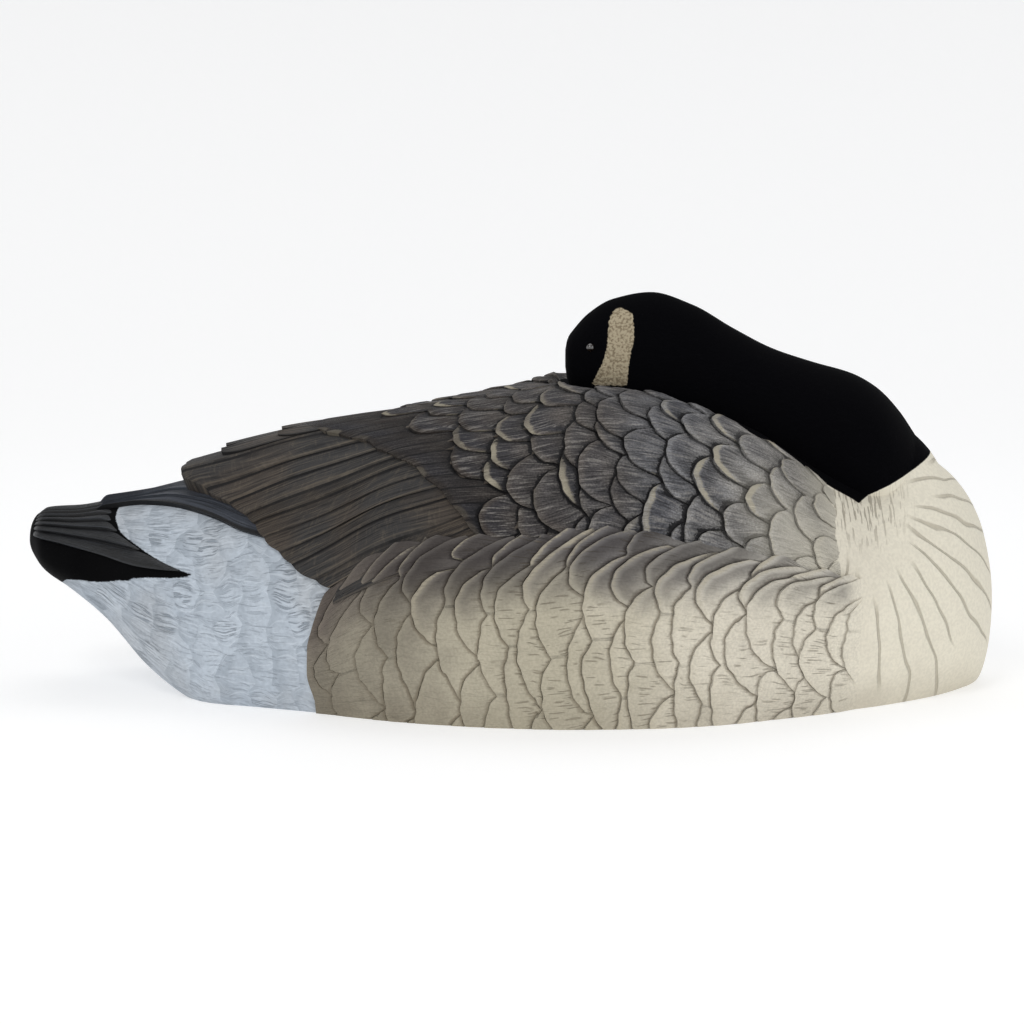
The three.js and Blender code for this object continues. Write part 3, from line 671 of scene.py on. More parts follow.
def calc(tree, operation, *values):
    return add(tree, "ShaderNodeMath", dict(enumerate(values)), operation=operation).outputs[0]


def times(tree, *values):
    return calc(tree, "MULTIPLY", *values)


def minus(tree, *values):
    return calc(tree, "SUBTRACT", *values)


def scaled(tree, value, factor, offset):
    return calc(tree, "MULTIPLY_ADD", value, factor, offset)


def split(tree, value):
    return add(tree, "ShaderNodeSeparateXYZ", {0: value}).outputs


def within(tree, value, start, end, low=0.0, high=1.0):
    return add(tree, "ShaderNodeMapRange", {"Value": value, "From Min": start, "From Max": end,
                                            "To Min": low, "To Max": high},
               interpolation_type="SMOOTHSTEP").outputs["Result"]


def blend(tree, factor, a, b, mode="MIX"):
    node = add(tree, "ShaderNodeMix", {0: factor, 6: a, 7: b}, data_type="RGBA", blend_type=mode)
    return node.outputs[2]


def ramp(tree, value, stops):
    node = add(tree, "ShaderNodeValToRGB", {0: value})
    line = node.color_ramp
    line.interpolation = "EASE"
    while len(line.elements) < len(stops):
        line.elements.new(1)
    for element, (place, colour) in zip(line.elements, stops):
        element.position, element.color = place, colour
    return node.outputs[0]


def paint(red, green, blue):
    # a paint colour as 0 to 255, as seen, turned into the linear light that a shader takes
    seen = [c / 255 for c in (red, green, blue)]
    return tuple(c / 12.92 if c <= 0.04045 else ((c + 0.055) / 1.055) ** 2.4 for c in seen) + (1,)


colours = {
    "backBrown": paint(58, 51, 47), "backMiddle": paint(92, 86, 82), "backGrey": paint(126, 126, 129),
    "backLight": paint(158, 155, 151), "backRim": paint(172, 164, 144), "backDark": paint(20, 19, 21),
    "backShade": paint(48, 49, 56), "backPale": paint(142, 138, 132), "cornerCream": paint(212, 206, 190),
    "wingBrown": paint(64, 57, 51), "wingSlate": paint(53, 52, 52), "wingPale": paint(112, 102, 88),
    "wingDark": paint(18, 17, 18),
    "primary": paint(48, 51, 59), "primarySlate": paint(60, 65, 74), "primaryPale": paint(86, 91, 101),
    "primaryDark": paint(8, 9, 12),
    "tail": paint(7, 8, 10), "tailSlate": paint(17, 19, 22), "tailPale": paint(50, 54, 62),
    "tailBlack": paint(2, 2, 3),
    "rump": paint(184, 193, 203), "rumpShade": paint(124, 133, 143), "rumpWarm": paint(176, 178, 180),
    "rumpHighlight": paint(214, 222, 230),
    "flankLine": paint(102, 91, 73), "flankDark": paint(40, 34, 33), "flankRim": paint(178, 169, 148),
    "breastLine": paint(150, 141, 122), "strokeLine": paint(112, 102, 86),
    "flock": paint(2, 2, 4), "flockPile": paint(8, 8, 11), "cheek": paint(172, 160, 136),
    "cheekShade": paint(118, 105, 84), "inside": paint(78, 72, 66), "insidePale": paint(98, 92, 84),
    "eye": paint(16, 12, 10), "eyeBrown": paint(34, 22, 14),
}
creamStops = [(0.3, paint(124, 118, 105)), (0.52, paint(178, 171, 152)), (0.74, paint(214, 207, 191)),
              (0.93, paint(226, 220, 203))]
duskStops = [(0.24, paint(104, 94, 86)), (0.42, paint(88, 83, 80)), (0.6, paint(104, 101, 101)),
             (0.76, paint(168, 164, 156))]
backStops = [(0.12, colours["backBrown"]), (0.42, colours["backMiddle"]), (0.68, colours["backGrey"]),
             (0.95, colours["backLight"])]


def newGroup(name, inputs, outputs):
    group = bpy.data.node_groups.new(name, "ShaderNodeTree")
    for label, kind, default in inputs:
        socket = group.interface.new_socket(label, in_out="INPUT", socket_type="NodeSocket" + kind)
        if default is not None:
            socket.default_value = default
    for label, kind in outputs:
        group.interface.new_socket(label, in_out="OUTPUT", socket_type="NodeSocket" + kind)
    return group, group.nodes.new("NodeGroupInput").outputs, group.nodes.new("NodeGroupOutput").inputs


def makeFeatherGroup():
    # reads a feather's place: thousandths from its tip, share from its side, two tones of its own, and its
    # barbs
    group, given, result = newGroup("feather",
                                    [("Place", "Vector", None), ("Fan", "Float", 1.0),
                                     ("Barbs", "Float", 60.0), ("Length", "Float", 3.0),
                                     ("Fineness", "Float", 2.0)],
                                    [("Tip", "Float"), ("Side", "Float"), ("Tone", "Float"),
                                     ("Other Tone", "Float"), ("Barb", "Float"), ("Comb", "Float")])
    part = split(group, given["Place"])
    across, along = calc(group, "FRACT", part[0]), calc(group, "FRACT", part[1])
    number = add(group, "ShaderNodeCombineXYZ",
                 {0: calc(group, "FLOOR", part[0]), 1: calc(group, "FLOOR", part[1])})
    dice = add(group, "ShaderNodeTexWhiteNoise", {"Vector": number.outputs[0]}, noise_dimensions="2D")
    other = split(group, dice.outputs["Color"])
    off = minus(group, across, 0.5)
    opening = scaled(group, given["Fan"], within(group, along, 0.35, 0.0), 0.6)
    barbAt = times(group, calc(group, "DIVIDE", off, opening), given["Barbs"])
    lines = add(group, "ShaderNodeCombineXYZ",
                {0: barbAt, 1: times(group, along, given["Length"]), 2: times(group, other[1], 40.0)})
    streak = add(group, "ShaderNodeTexNoise",
                 {"Vector": lines.outputs[0], "Scale": 1.0, "Detail": given["Fineness"], "Roughness": 0.6,
                  "Distortion": 0.12}, noise_dimensions="3D")
    # single strokes side by side, each beginning and ending where it likes
    sway = scaled(group, streak.outputs[0], 1.6, barbAt)
    toss = add(group, "ShaderNodeCombineXYZ",
               {0: calc(group, "FLOOR", sway), 1: times(group, other[1], 90.0)})
    own = add(group, "ShaderNodeTexWhiteNoise", {"Vector": toss.outputs[0]},
              noise_dimensions="2D").outputs["Color"]
    own = split(group, own)
    fromMiddle = calc(group, "ABSOLUTE", minus(group, calc(group, "FRACT", sway), 0.5))
    past = minus(group, along, times(group, own[0], 0.26))
    left = minus(group, scaled(group, own[1], 0.12, 0.03), past)
    comb = times(group, within(group, past, 0.0, 0.03), within(group, left, 0.0, 0.03))
    comb = times(group, comb, within(group, fromMiddle, 0.26, 0.08))
    group.links.new(comb, result["Comb"])
    group.links.new(times(group, along, 128.0), result["Tip"])
    group.links.new(minus(group, 0.5, calc(group, "ABSOLUTE", off)), result["Side"])
    group.links.new(dice.outputs["Value"], result["Tone"])
    group.links.new(other[0], result["Other Tone"])
    group.links.new(streak.outputs[0], result["Barb"])
    return group


def makeRaggedGroup():
    # turns a distance from a painted edge into a mask whose border is brushed
    group, given, result = newGroup("raggedEdge",
                                    [("Distance", "Float", 0.0), ("Softness", "Float", 1.0),
                                     ("Raggedness", "Float", 1.0), ("Grain", "Float", 300.0)],
                                    [("Mask", "Float")])
    where = add(group, "ShaderNodeTexCoord").outputs["Object"]
    noise = add(group, "ShaderNodeTexNoise", {"Vector": where, "Scale": given["Grain"], "Detail": 3.0})
    shift = times(group, minus(group, noise.outputs[0], 0.5), given["Raggedness"])
    moved = calc(group, "ADD", given["Distance"], shift)
    mask = within(group, moved, times(group, given["Softness"], -1.0), given["Softness"])
    group.links.new(mask, result["Mask"])
    return group


def makeMottleGroup():
    # brushed paint: soft patches, a finer grain and a few rubbed spots
    group, given, result = newGroup("mottle", [("Patch", "Float", 25.0), ("Grain", "Float", 700.0)],
                                    [("Patches", "Float"), ("Grain", "Float"), ("Worn", "Float")])
    where = add(group, "ShaderNodeTexCoord").outputs["Object"]
    patches = add(group, "ShaderNodeTexNoise", {"Vector": where, "Scale": given["Patch"], "Detail": 3.0})
    grain = add(group, "ShaderNodeTexNoise", {"Vector": where, "Scale": given["Grain"], "Detail": 2.0})
    both = times(group, patches.outputs[0], grain.outputs[0])
    group.links.new(patches.outputs[0], result["Patches"])
    group.links.new(grain.outputs[0], result["Grain"])
    group.links.new(within(group, both, 0.34, 0.42), result["Worn"])
    return group


def makeCreamGroup():
    # the pale paint of flank and breast: tan towards the tail, cream towards the breast, blotched, and darker
    # towards the rim at the bottom with painted shade
    group, given, result = newGroup("creamPaint", [("Blotch", "Float", 0.06)],
                                    [("Colour", "Color"), ("Along", "Float")])
    where = add(group, "ShaderNodeTexCoord").outputs["Object"]
    part = split(group, where)
    blotch = add(group, "ShaderNodeTexNoise", {"Vector": where, "Scale": 26.0, "Detail": 4.0}).outputs[0]
    along = scaled(group, part[0], 1.487, 0.5)
    shift = times(group, minus(group, blotch, 0.5), times(group, given["Blotch"], 4.0))
    colour = ramp(group, calc(group, "ADD", along, shift), creamStops)
    # painted shade: darker near the bottom, where the side turns under towards the rim
    low = within(group, scaled(group, blotch, 0.02, part[2]), 0.045, 0.008, 0.0, 0.22)
    colour = blend(group, low, colour, colours["flankLine"])
    group.links.new(colour, result["Colour"])
    group.links.new(along, result["Along"])
    return group


featherGroup, raggedGroup = makeFeatherGroup(), makeRaggedGroup()
mottleGroup, creamGroup = makeMottleGroup(), makeCreamGroup()


def useGroup(tree, group, inputs):
    return add(tree, "ShaderNodeGroup", inputs, node_tree=group).outputs


def startMaterial(name):
    material = bpy.data.materials[name]
    material.use_nodes = True
    tree = material.node_tree
    tree.nodes.clear()
    shader = add(tree, "ShaderNodeBsdfPrincipled")
    output = add(tree, "ShaderNodeOutputMaterial", {"Surface": shader.outputs[0]})
    output.is_active_output = True
    feather = add(tree, "ShaderNodeUVMap", uv_map="feather").outputs[0]
    painted = split(tree, add(tree, "ShaderNodeUVMap", uv_map="paint").outputs[0])
    return tree, shader, feather, painted


def finishMaterial(tree, shader, colour, roughness, height, depth, distance=0.001, shine=0.2):
    tree.links.new(colour, shader.inputs["Base Color"])
    tree.links.new(roughness, shader.inputs["Roughness"])
    shader.inputs["Specular IOR Level"].default_value = shine
    bump = add(tree, "ShaderNodeBump", {"Height": height, "Strength": depth, "Distance": distance})
    tree.links.new(bump.outputs[0], shader.inputs["Normal"])


def lengthAt(tree):
    # the place along the length in thousandths
    where = split(tree, add(tree, "ShaderNodeTexCoord").outputs["Object"])
    return calc(tree, "DIVIDE", where[0], unit)


def gritty(tree, colour, grain, low=0.84, high=1.14):
    return blend(tree, 1.0, colour, within(tree, grain, 0.32, 0.68, low, high), "MULTIPLY")


def paintBack():
    tree, shader, feather, painted = startMaterial("backPaint")
    plume = useGroup(tree, featherGroup, {"Place": feather, "Fan": 0.4, "Barbs": 34.0, "Length": 5.0})
    mottle = useGroup(tree, mottleGroup, {"Patch": 18.0, "Grain": 800.0})
    x = lengthAt(tree)
    # brown towards the tail, blue-grey towards the neck, and pale where the feathers end on the neck and
    # the breast
    along = scaled(tree, minus(tree, mottle["Patches"], 0.5), 260.0, x)
    base = ramp(tree, within(tree, along, -230.0, 380.0), backStops)
    pale = times(tree, within(tree, painted[0], 34.0, 2.0), within(tree, x, 150.0, 260.0, 0.25, 0.75))
    base = blend(tree, calc(tree, "MAXIMUM", pale, within(tree, x, 225.0, 330.0)), base, colours["backPale"])
    base = blend(tree, 1.0, base, within(tree, plume["Tone"], 0.0, 1.0, 0.82, 1.2), "MULTIPLY")
    # painted shade: each feather is darker just behind its rim and paler towards its root
    innerShade = times(tree, within(tree, plume["Tip"], 2.0, 8.0), within(tree, plume["Tip"], 36.0, 12.0))
    innerShade = times(tree, innerShade, within(tree, plume["Other Tone"], 0.0, 1.0, 0.3, 0.8))
    innerShade = times(tree, innerShade, within(tree, x, 320.0, 160.0, 0.15, 1.0))
    base = blend(tree, innerShade, base, colours["backShade"])
    row = split(tree, feather)[1]
    scaly = within(tree, row, 0.98, 1.02, 0.4, 1.0)
    base = blend(tree, times(tree, within(tree, plume["Barb"], 0.52, 0.64, 0.0, 0.45), scaly), base,
                 colours["backPale"])
    base = blend(tree, within(tree, plume["Barb"], 0.46, 0.36, 0.0, 0.6), base, colours["backDark"])
    base = gritty(tree, base, mottle["Grain"], 0.74, 1.26)
    # a broken pale crescent round the tip, wide on some feathers and hardly there on others, least on the
    # coverts
    strong = within(tree, plume["Tone"], 0.55, 0.85)
    thick = times(tree, within(tree, plume["Side"], 0.03, 0.3), scaled(tree, strong, 4.2, 1.2))
    edge = scaled(tree, minus(tree, mottle["Grain"], 0.5), 5.0, plume["Tip"])
    rim = within(tree, minus(tree, edge, thick), 1.2, -1.0)
    rim = times(tree, rim, within(tree, mottle["Patches"], 0.42, 0.6, 0.3, 1.0))
    rim = times(tree, rim, within(tree, row, 0.98, 1.02, 0.4, 1.0))
    strong = calc(tree, "MAXIMUM", strong, within(tree, x, 170.0, 290.0, 0.0, 0.7))
    base = blend(tree, times(tree, rim, scaled(tree, strong, 0.72, 0.1)), base, colours["backRim"])
    # the sides of the long coverts are dark lines
    lapped = times(tree, within(tree, plume["Side"], 0.09, 0.02), within(tree, row, 1.02, 0.98))
    base = blend(tree, times(tree, lapped, 0.8), base, colours["backDark"])
    # painted shade: darkening in the crease before the next tips, where they shade it
    shadeDistance = scaled(tree, mottle["Patches"], -5.0, painted[1])
    shadeDistance = scaled(tree, minus(tree, mottle["Grain"], 0.5), 5.0, shadeDistance)
    shadeDistance = scaled(tree, plume["Other Tone"], -2.4, shadeDistance)
    creaseShade = calc(tree, "MAXIMUM", within(tree, shadeDistance, 1.8, -1.0), within(tree, shadeDistance, 11.0, -2.0, 0.0, 0.5))
    paintedCreaseShade = times(tree, creaseShade, within(tree, x, 330.0, 170.0, 0.3, 0.95))
    base = blend(tree, paintedCreaseShade, base, colours["backDark"])
    # the last feathers go over into the cream of the flank and the breast
    toFlank = times(tree, within(tree, x, 190.0, 320.0), within(tree, painted[0], 50.0, 140.0, 0.0, 0.8))
    toFlank = calc(tree, "MAXIMUM", toFlank, within(tree, x, 270.0, 338.0))
    base = blend(tree, toFlank, base, colours["cornerCream"])
    relief = within(tree, plume["Barb"], 0.38, 0.6)
    height = scaled(tree, mottle["Grain"], 0.5, relief)
    finishMaterial(tree, shader, base, within(tree, mottle["Patches"], 0.3, 0.7, 0.6, 0.78), height, 0.8,
                   0.0008)


def paintFlank():
    tree, shader, feather, painted = startMaterial("flankPaint")
    plume = useGroup(tree, featherGroup, {"Place": feather, "Fan": 0.12, "Barbs": 25.0, "Length": 5.0,
                                          "Fineness": 1.0})
    rear = within(tree, lengthAt(tree), -160.0, -100.0)  # plainer at the tail end
    mottle = useGroup(tree, mottleGroup, {"Patch": 14.0, "Grain": 600.0})
    cream = useGroup(tree, creamGroup, {"Blotch": 0.05})
    ending = within(tree, lengthAt(tree), 352.0, 312.0)  # the carving dies out into the breast
    # dusk below the wing turns to cream lower down, and the dusk itself fades out towards the breast
    depth = scaled(tree, minus(tree, mottle["Patches"], 0.5), 80.0, painted[0])
    depth = scaled(tree, within(tree, cream["Along"], 0.55, 0.85), 34.0, depth)
    dusk = ramp(tree, cream["Along"], duskStops)
    dusk = blend(tree, 1.0, dusk, within(tree, plume["Tone"], 0.0, 1.0, 0.84, 1.14), "MULTIPLY")
    low = calc(tree, "MAXIMUM", within(tree, depth, 18.0, 92.0), within(tree, lengthAt(tree), 306.0, 342.0))
    tone = scaled(tree, minus(tree, plume["Tone"], 0.45), times(tree, ending, 0.1), 1.0)
    base = blend(tree, low, dusk, blend(tree, 1.0, cream["Colour"], tone, "MULTIPLY"))
    high = minus(tree, 1.0, low)
    base = gritty(tree, base, mottle["Grain"], 0.92, 1.07)
    # strokes of the barbs in loose clusters
    cluster = times(tree, within(tree, mottle["Patches"], 0.44, 0.58, 0.12, 1.0), ending)
    cluster = times(tree, cluster, scaled(tree, rear, 0.7, 0.3))
    stroke = times(tree, plume["Comb"], cluster)
    base = blend(tree, times(tree, stroke, 0.5), base, colours["strokeLine"])
    # a soft pale rim on the feathers near the top, with dark shading inside it
    edge = scaled(tree, minus(tree, mottle["Grain"], 0.5), 3.5, plume["Tip"])
    thick = times(tree, within(tree, plume["Side"], -0.1, 0.25), scaled(tree, plume["Other Tone"], 4.0, 1.2))
    shade = times(tree, within(tree, minus(tree, edge, thick), 0.0, 5.0),
                  within(tree, plume["Tip"], 30.0, 10.0))
    shade = times(tree, times(tree, shade, high), scaled(tree, rear, 0.35, 0.2))
    base = blend(tree, shade, base, colours["flankDark"])
    rim = within(tree, minus(tree, edge, thick), 1.2, -2.5)
    rim = times(tree, rim, scaled(tree, high, 0.55, 0.2))
    rim = times(tree, rim, within(tree, plume["Other Tone"], 0.0, 0.8, 0.2, 0.95))
    rim = times(tree, rim, within(tree, plume["Barb"], 0.38, 0.52, 0.6, 1.0))
    rim = times(tree, rim, times(tree, ending, scaled(tree, rear, 0.85, 0.15)))
    base = blend(tree, rim, base, colours["flankRim"])
    # the carved line along the foot of each tip, broken here and there, darkened with painted shade in its
    # groove
    shaky = scaled(tree, minus(tree, mottle["Grain"], 0.5), 2.4, painted[1])
    line = within(tree, shaky, 5.0, 1.4)
    cut = times(tree, times(tree, line, ending), within(tree, mottle["Grain"], 0.35, 0.5, 0.75, 1.0))
    cut = times(tree, cut, within(tree, high, 0.0, 1.0, 0.62, 0.75))
    cut = times(tree, cut, times(tree, within(tree, plume["Tone"], 0.0, 0.6, 0.6, 1.0),
                                 scaled(tree, rear, 0.6, 0.4)))
    base = blend(tree, cut, base, blend(tree, high, colours["flankLine"], colours["flankDark"]))
    relief = scaled(tree, stroke, -1.0, times(tree, within(tree, plume["Barb"], 0.35, 0.6), 0.5))
    height = scaled(tree, mottle["Grain"], 0.25, times(tree, relief, ending))
    finishMaterial(tree, shader, base, within(tree, mottle["Patches"], 0.3, 0.7, 0.6, 0.76), height, 0.8,
                   0.0008)


def paintWing(name, main, second, pale, dark, lipAt, gloss, shine):
    tree, shader, feather, painted = startMaterial(name)
    part = split(tree, feather)
    across = calc(tree, "FRACT", part[0])
    number = calc(tree, "FLOOR", part[0])
    dice = add(tree, "ShaderNodeTexWhiteNoise", {"W": number}, noise_dimensions="1D")
    own = split(tree, dice.outputs["Color"])
    mottle = useGroup(tree, mottleGroup, {"Patch": 16.0, "Grain": 600.0})
    slant = scaled(tree, across, 22.0, part[1])  # barbs run back from the quill towards the free edge
    lines = add(tree, "ShaderNodeCombineXYZ",
                {0: times(tree, slant, 0.3), 1: times(tree, across, 1.6), 2: times(tree, number, 5.3)})
    barb = add(tree, "ShaderNodeTexNoise", {"Vector": lines.outputs[0], "Scale": 1.0, "Detail": 2.5,
                                            "Roughness": 0.65}).outputs[0]
    sway = scaled(tree, minus(tree, mottle["Patches"], 0.5), 0.5, across)
    longLines = add(tree, "ShaderNodeCombineXYZ",
                    {0: times(tree, part[1], 0.02), 1: times(tree, sway, 10.0), 2: number})
    streak = add(tree, "ShaderNodeTexNoise", {"Vector": longLines.outputs[0], "Scale": 1.0, "Detail": 3.0,
                                              "Roughness": 0.6}).outputs[0]
    base = blend(tree, within(tree, mottle["Patches"], 0.35, 0.62), main, second)
    base = blend(tree, 1.0, base, within(tree, own[0], 0.0, 1.0, 0.85, 1.15), "MULTIPLY")
    base = blend(tree, within(tree, barb, 0.5, 0.75, 0.0, 0.25), base, pale)
    base = blend(tree, within(tree, streak, 0.5, 0.72, 0.0, 0.45), base, pale)
    base = blend(tree, within(tree, streak, 0.5, 0.34, 0.0, 0.65), base, dark)
    away = calc(tree, "ABSOLUTE", minus(tree, across, lipAt))
    # painted highlight: a pale line along each strip's lip, where light catches its edge
    lip = times(tree, within(tree, away, 0.07, 0.0), within(tree, own[1], 0.0, 1.0, 0.15, 0.75))
    lip = times(tree, lip, within(tree, mottle["Patches"], 0.36, 0.58, 0.25, 1.0))
    base = blend(tree, lip, base, pale)
    # painted shade: a dark line along each strip's lapped edge, in the crease at the foot of the neighbouring
    # lip
    root = times(tree, within(tree, away, 0.84, 0.95), within(tree, own[2], 0.0, 1.0, 0.55, 0.95))
    base = blend(tree, root, base, dark)
    base = blend(tree, within(tree, painted[0], 6.5, 4.0), base, dark)  # a dark line along the outer edge
    height = calc(tree, "ADD", times(tree, barb, 0.35), times(tree, streak, 1.2))
    finishMaterial(tree, shader, base, within(tree, mottle["Patches"], 0.3, 0.7, gloss, gloss + 0.18),
                   height, 0.75, 0.0013, shine)


def paintRump():
    tree, shader, feather, painted = startMaterial("rumpPaint")
    mottle = useGroup(tree, mottleGroup, {"Patch": 16.0, "Grain": 420.0})
    # soft feathers: round cells on the skin, each a low pillow with fine barbs that open a little backwards
    warp = add(tree, "ShaderNodeTexNoise", {"Vector": feather, "Scale": 0.04, "Detail": 1.0}).outputs["Color"]
    loose = add(tree, "ShaderNodeVectorMath", {0: warp, 1: (8.0, 8.0, 0.0), 2: feather},
                operation="MULTIPLY_ADD")
    place = add(tree, "ShaderNodeMapping", {"Vector": loose.outputs[0],
                                            "Scale": (0.044, 0.039, 1)}).outputs[0]
    cells = add(tree, "ShaderNodeTexVoronoi", {"Vector": place, "Scale": 1.0, "Randomness": 0.75},
                voronoi_dimensions="2D")
    local = add(tree, "ShaderNodeVectorMath", {0: place, 1: cells.outputs["Position"]}, operation="SUBTRACT")
    at = split(tree, local.outputs[0])
    own = split(tree, cells.outputs["Color"])
    lens = scaled(tree, times(tree, at[1], at[1]), -1.5, 1.0)
    fan = calc(tree, "DIVIDE", at[0], calc(tree, "MAXIMUM", lens, 0.35))
    lines = add(tree, "ShaderNodeCombineXYZ",
                {0: times(tree, fan, 14.0), 1: times(tree, at[1], 1.0), 2: times(tree, own[0], 30.0)})
    barb = add(tree, "ShaderNodeTexNoise", {"Vector": lines.outputs[0], "Scale": 1.0, "Detail": 1.5,
                                            "Roughness": 0.5, "Distortion": 0.15}).outputs[0]
    long = add(tree, "ShaderNodeMapping", {"Vector": loose.outputs[0], "Scale": (0.62, 0.05, 1)}).outputs[0]
    hair = add(tree, "ShaderNodeTexNoise", {"Vector": long, "Scale": 1.0, "Detail": 1.0,
                                            "Distortion": 0.3}).outputs[0]
    away = cells.outputs["Distance"]
    cut = times(tree, within(tree, barb, 0.47, 0.38), within(tree, away, 0.52, 0.34))
    cut = times(tree, cut, within(tree, own[2], 0.4, 0.75, 0.15, 1.0))
    cut = calc(tree, "MAXIMUM", cut, within(tree, hair, 0.42, 0.32, 0.0, 0.45))
    pillow = within(tree, away, 0.6, 0.1)
    # painted shade on the rear side of each pillow
    rear = times(tree, within(tree, at[1], 0.05, -0.35), within(tree, away, 0.3, 0.46))
    base = blend(tree, within(tree, mottle["Patches"], 0.35, 0.65, 0.0, 0.5), colours["rump"],
                 colours["rumpWarm"])
    base = blend(tree, within(tree, own[1], 0.0, 1.0, 0.0, 0.2), base, colours["rumpShade"])
    base = gritty(tree, base, mottle["Grain"], 0.94, 1.05)
    # painted shade darkens the barb cuts and the fine lines
    base = blend(tree, times(tree, cut, 0.65), base, colours["rumpShade"])
    base = blend(tree, times(tree, rear, 0.28), base, colours["rumpShade"])
    # painted highlight along the barbs
    base = blend(tree, within(tree, barb, 0.56, 0.66, 0.0, 0.3), base, colours["rumpHighlight"])
    black = useGroup(tree, raggedGroup, {"Distance": painted[0], "Softness": 0.6, "Raggedness": 2.6,
                                         "Grain": 700.0})
    base = blend(tree, black["Mask"], base, colours["tailBlack"])
    height = minus(tree, times(tree, pillow, 1.1), times(tree, cut, 0.8))
    height = scaled(tree, mottle["Grain"], 0.14, height)
    height = times(tree, height, minus(tree, 1.0, times(tree, black["Mask"], 0.95)))
    finishMaterial(tree, shader, base, within(tree, mottle["Patches"], 0.3, 0.7, 0.6, 0.78), height, 0.85,
                   0.0012, 0.05)


def grooveNodes(tree, feather):
    # long grooves that fan out from the neck, each beginning and ending where it likes, and short strokes
    # between them
    part = split(tree, feather)
    place = add(tree, "ShaderNodeCombineXYZ", {0: part[0], 1: times(tree, part[1], 0.02)}).outputs[0]
    sway = add(tree, "ShaderNodeTexNoise", {"Vector": place, "Scale": 0.9, "Detail": 1.0}).outputs[0]
    turn = scaled(tree, sway, 0.9, part[0])
    dice = add(tree, "ShaderNodeTexWhiteNoise", {"W": calc(tree, "FLOOR", turn)}, noise_dimensions="1D")
    own = split(tree, dice.outputs["Color"])
    off = calc(tree, "ABSOLUTE", minus(tree, calc(tree, "FRACT", turn), 0.5))
    wide = times(tree, off, times(tree, part[1], 0.16))  # thousandths across the groove
    groove = within(tree, wide, 2.0, 0.4)
    begin = scaled(tree, own[0], 55.0, 55.0)
    finish = scaled(tree, own[1], 100.0, 180.0)
    groove = times(tree, groove, within(tree, minus(tree, part[1], begin), 0.0, 22.0))
    groove = times(tree, groove, within(tree, minus(tree, finish, part[1]), 0.0, 22.0))
    # the strokes stand steeply, and are closest below the corner of the neck
    at = add(tree, "ShaderNodeMapping", {"Vector": add(tree, "ShaderNodeTexCoord").outputs["Object"],
                                         "Rotation": (0, 0.36, 0), "Scale": (820, 40, 100)}).outputs[0]
    stroke = add(tree, "ShaderNodeTexNoise", {"Vector": at, "Scale": 1.0, "Detail": 1.0}).outputs[0]
    near = within(tree, part[1], 85.0, 20.0)
    return groove, times(tree, within(tree, stroke, 0.44, 0.36), near)


def paintBreast():
    tree, shader, feather, painted = startMaterial("breastPaint")
    mottle = useGroup(tree, mottleGroup, {"Patch": 12.0, "Grain": 450.0})
    groove, stroke = grooveNodes(tree, feather)
    base = useGroup(tree, creamGroup, {"Blotch": 0.05})["Colour"]
    base = gritty(tree, base, mottle["Grain"], 0.95, 1.04)
    # painted shade darkens the grooves
    base = blend(tree, times(tree, groove, 0.5), base, colours["breastLine"])
    base = blend(tree, times(tree, stroke, 0.55), base, colours["strokeLine"])
    black = useGroup(tree, raggedGroup, {"Distance": painted[1], "Softness": 0.5, "Raggedness": 0.9,
                                         "Grain": 900.0})
    base = blend(tree, black["Mask"], base, colours["flock"])
    height = scaled(tree, calc(tree, "MAXIMUM", groove, times(tree, stroke, 0.6)), -1.0,
                    times(tree, mottle["Grain"], 0.14))
    finishMaterial(tree, shader, base, within(tree, black["Mask"], 0.0, 1.0, 0.66, 1.0), height, 0.85,
                   0.0012, 0.06)


def paintHead():
    tree, shader, feather, painted = startMaterial("headFlock")
    mottle = useGroup(tree, mottleGroup, {"Patch": 30.0, "Grain": 2600.0})
    groove, stroke = grooveNodes(tree, feather)
    cream = useGroup(tree, creamGroup, {"Blotch": 0.05})["Colour"]
    cream = blend(tree, times(tree, stroke, 0.4), cream, colours["strokeLine"])
    black = useGroup(tree, raggedGroup, {"Distance": painted[1], "Softness": 0.5, "Raggedness": 0.9,
                                         "Grain": 900.0})
    cheek = useGroup(tree, raggedGroup, {"Distance": painted[0], "Softness": 0.5, "Raggedness": 4.0,
                                         "Grain": 420.0})
    flock = blend(tree, within(tree, mottle["Grain"], 0.4, 0.75), colours["flock"], colours["flockPile"])
    where = add(tree, "ShaderNodeTexCoord").outputs["Object"]
    stipple = add(tree, "ShaderNodeTexNoise", {"Vector": where, "Scale": 560.0, "Detail": 2.0}).outputs[0]
    cheekColour = blend(tree, within(tree, stipple, 0.56, 0.36, 0.0, 0.8), colours["cheek"],
                        colours["cheekShade"])
    base = blend(tree, black["Mask"], cream, flock)
    base = blend(tree, cheek["Mask"], base, cheekColour)
    height = blend(tree, cheek["Mask"], times(tree, mottle["Grain"], 0.14), times(tree, stipple, 1.5))
    plain = times(tree, black["Mask"], minus(tree, 1.0, cheek["Mask"]))
    finishMaterial(tree, shader, base, within(tree, plain, 0.0, 1.0, 0.62, 1.0), height, 0.7, 0.001, 0.06)


def paintEye():
    tree, shader, feather, painted = startMaterial("eyeGlass")
    facing = add(tree, "ShaderNodeTexNoise", {"Vector": feather, "Scale": 3.0}).outputs[0]
    base = blend(tree, within(tree, facing, 0.4, 0.7), colours["eye"], colours["eyeBrown"])
    tree.links.new(base, shader.inputs["Base Color"])
    shader.inputs["Roughness"].default_value = 0.06
    shader.inputs["Specular IOR Level"].default_value = 1.0
    shader.inputs["Coat Weight"].default_value = 1.0


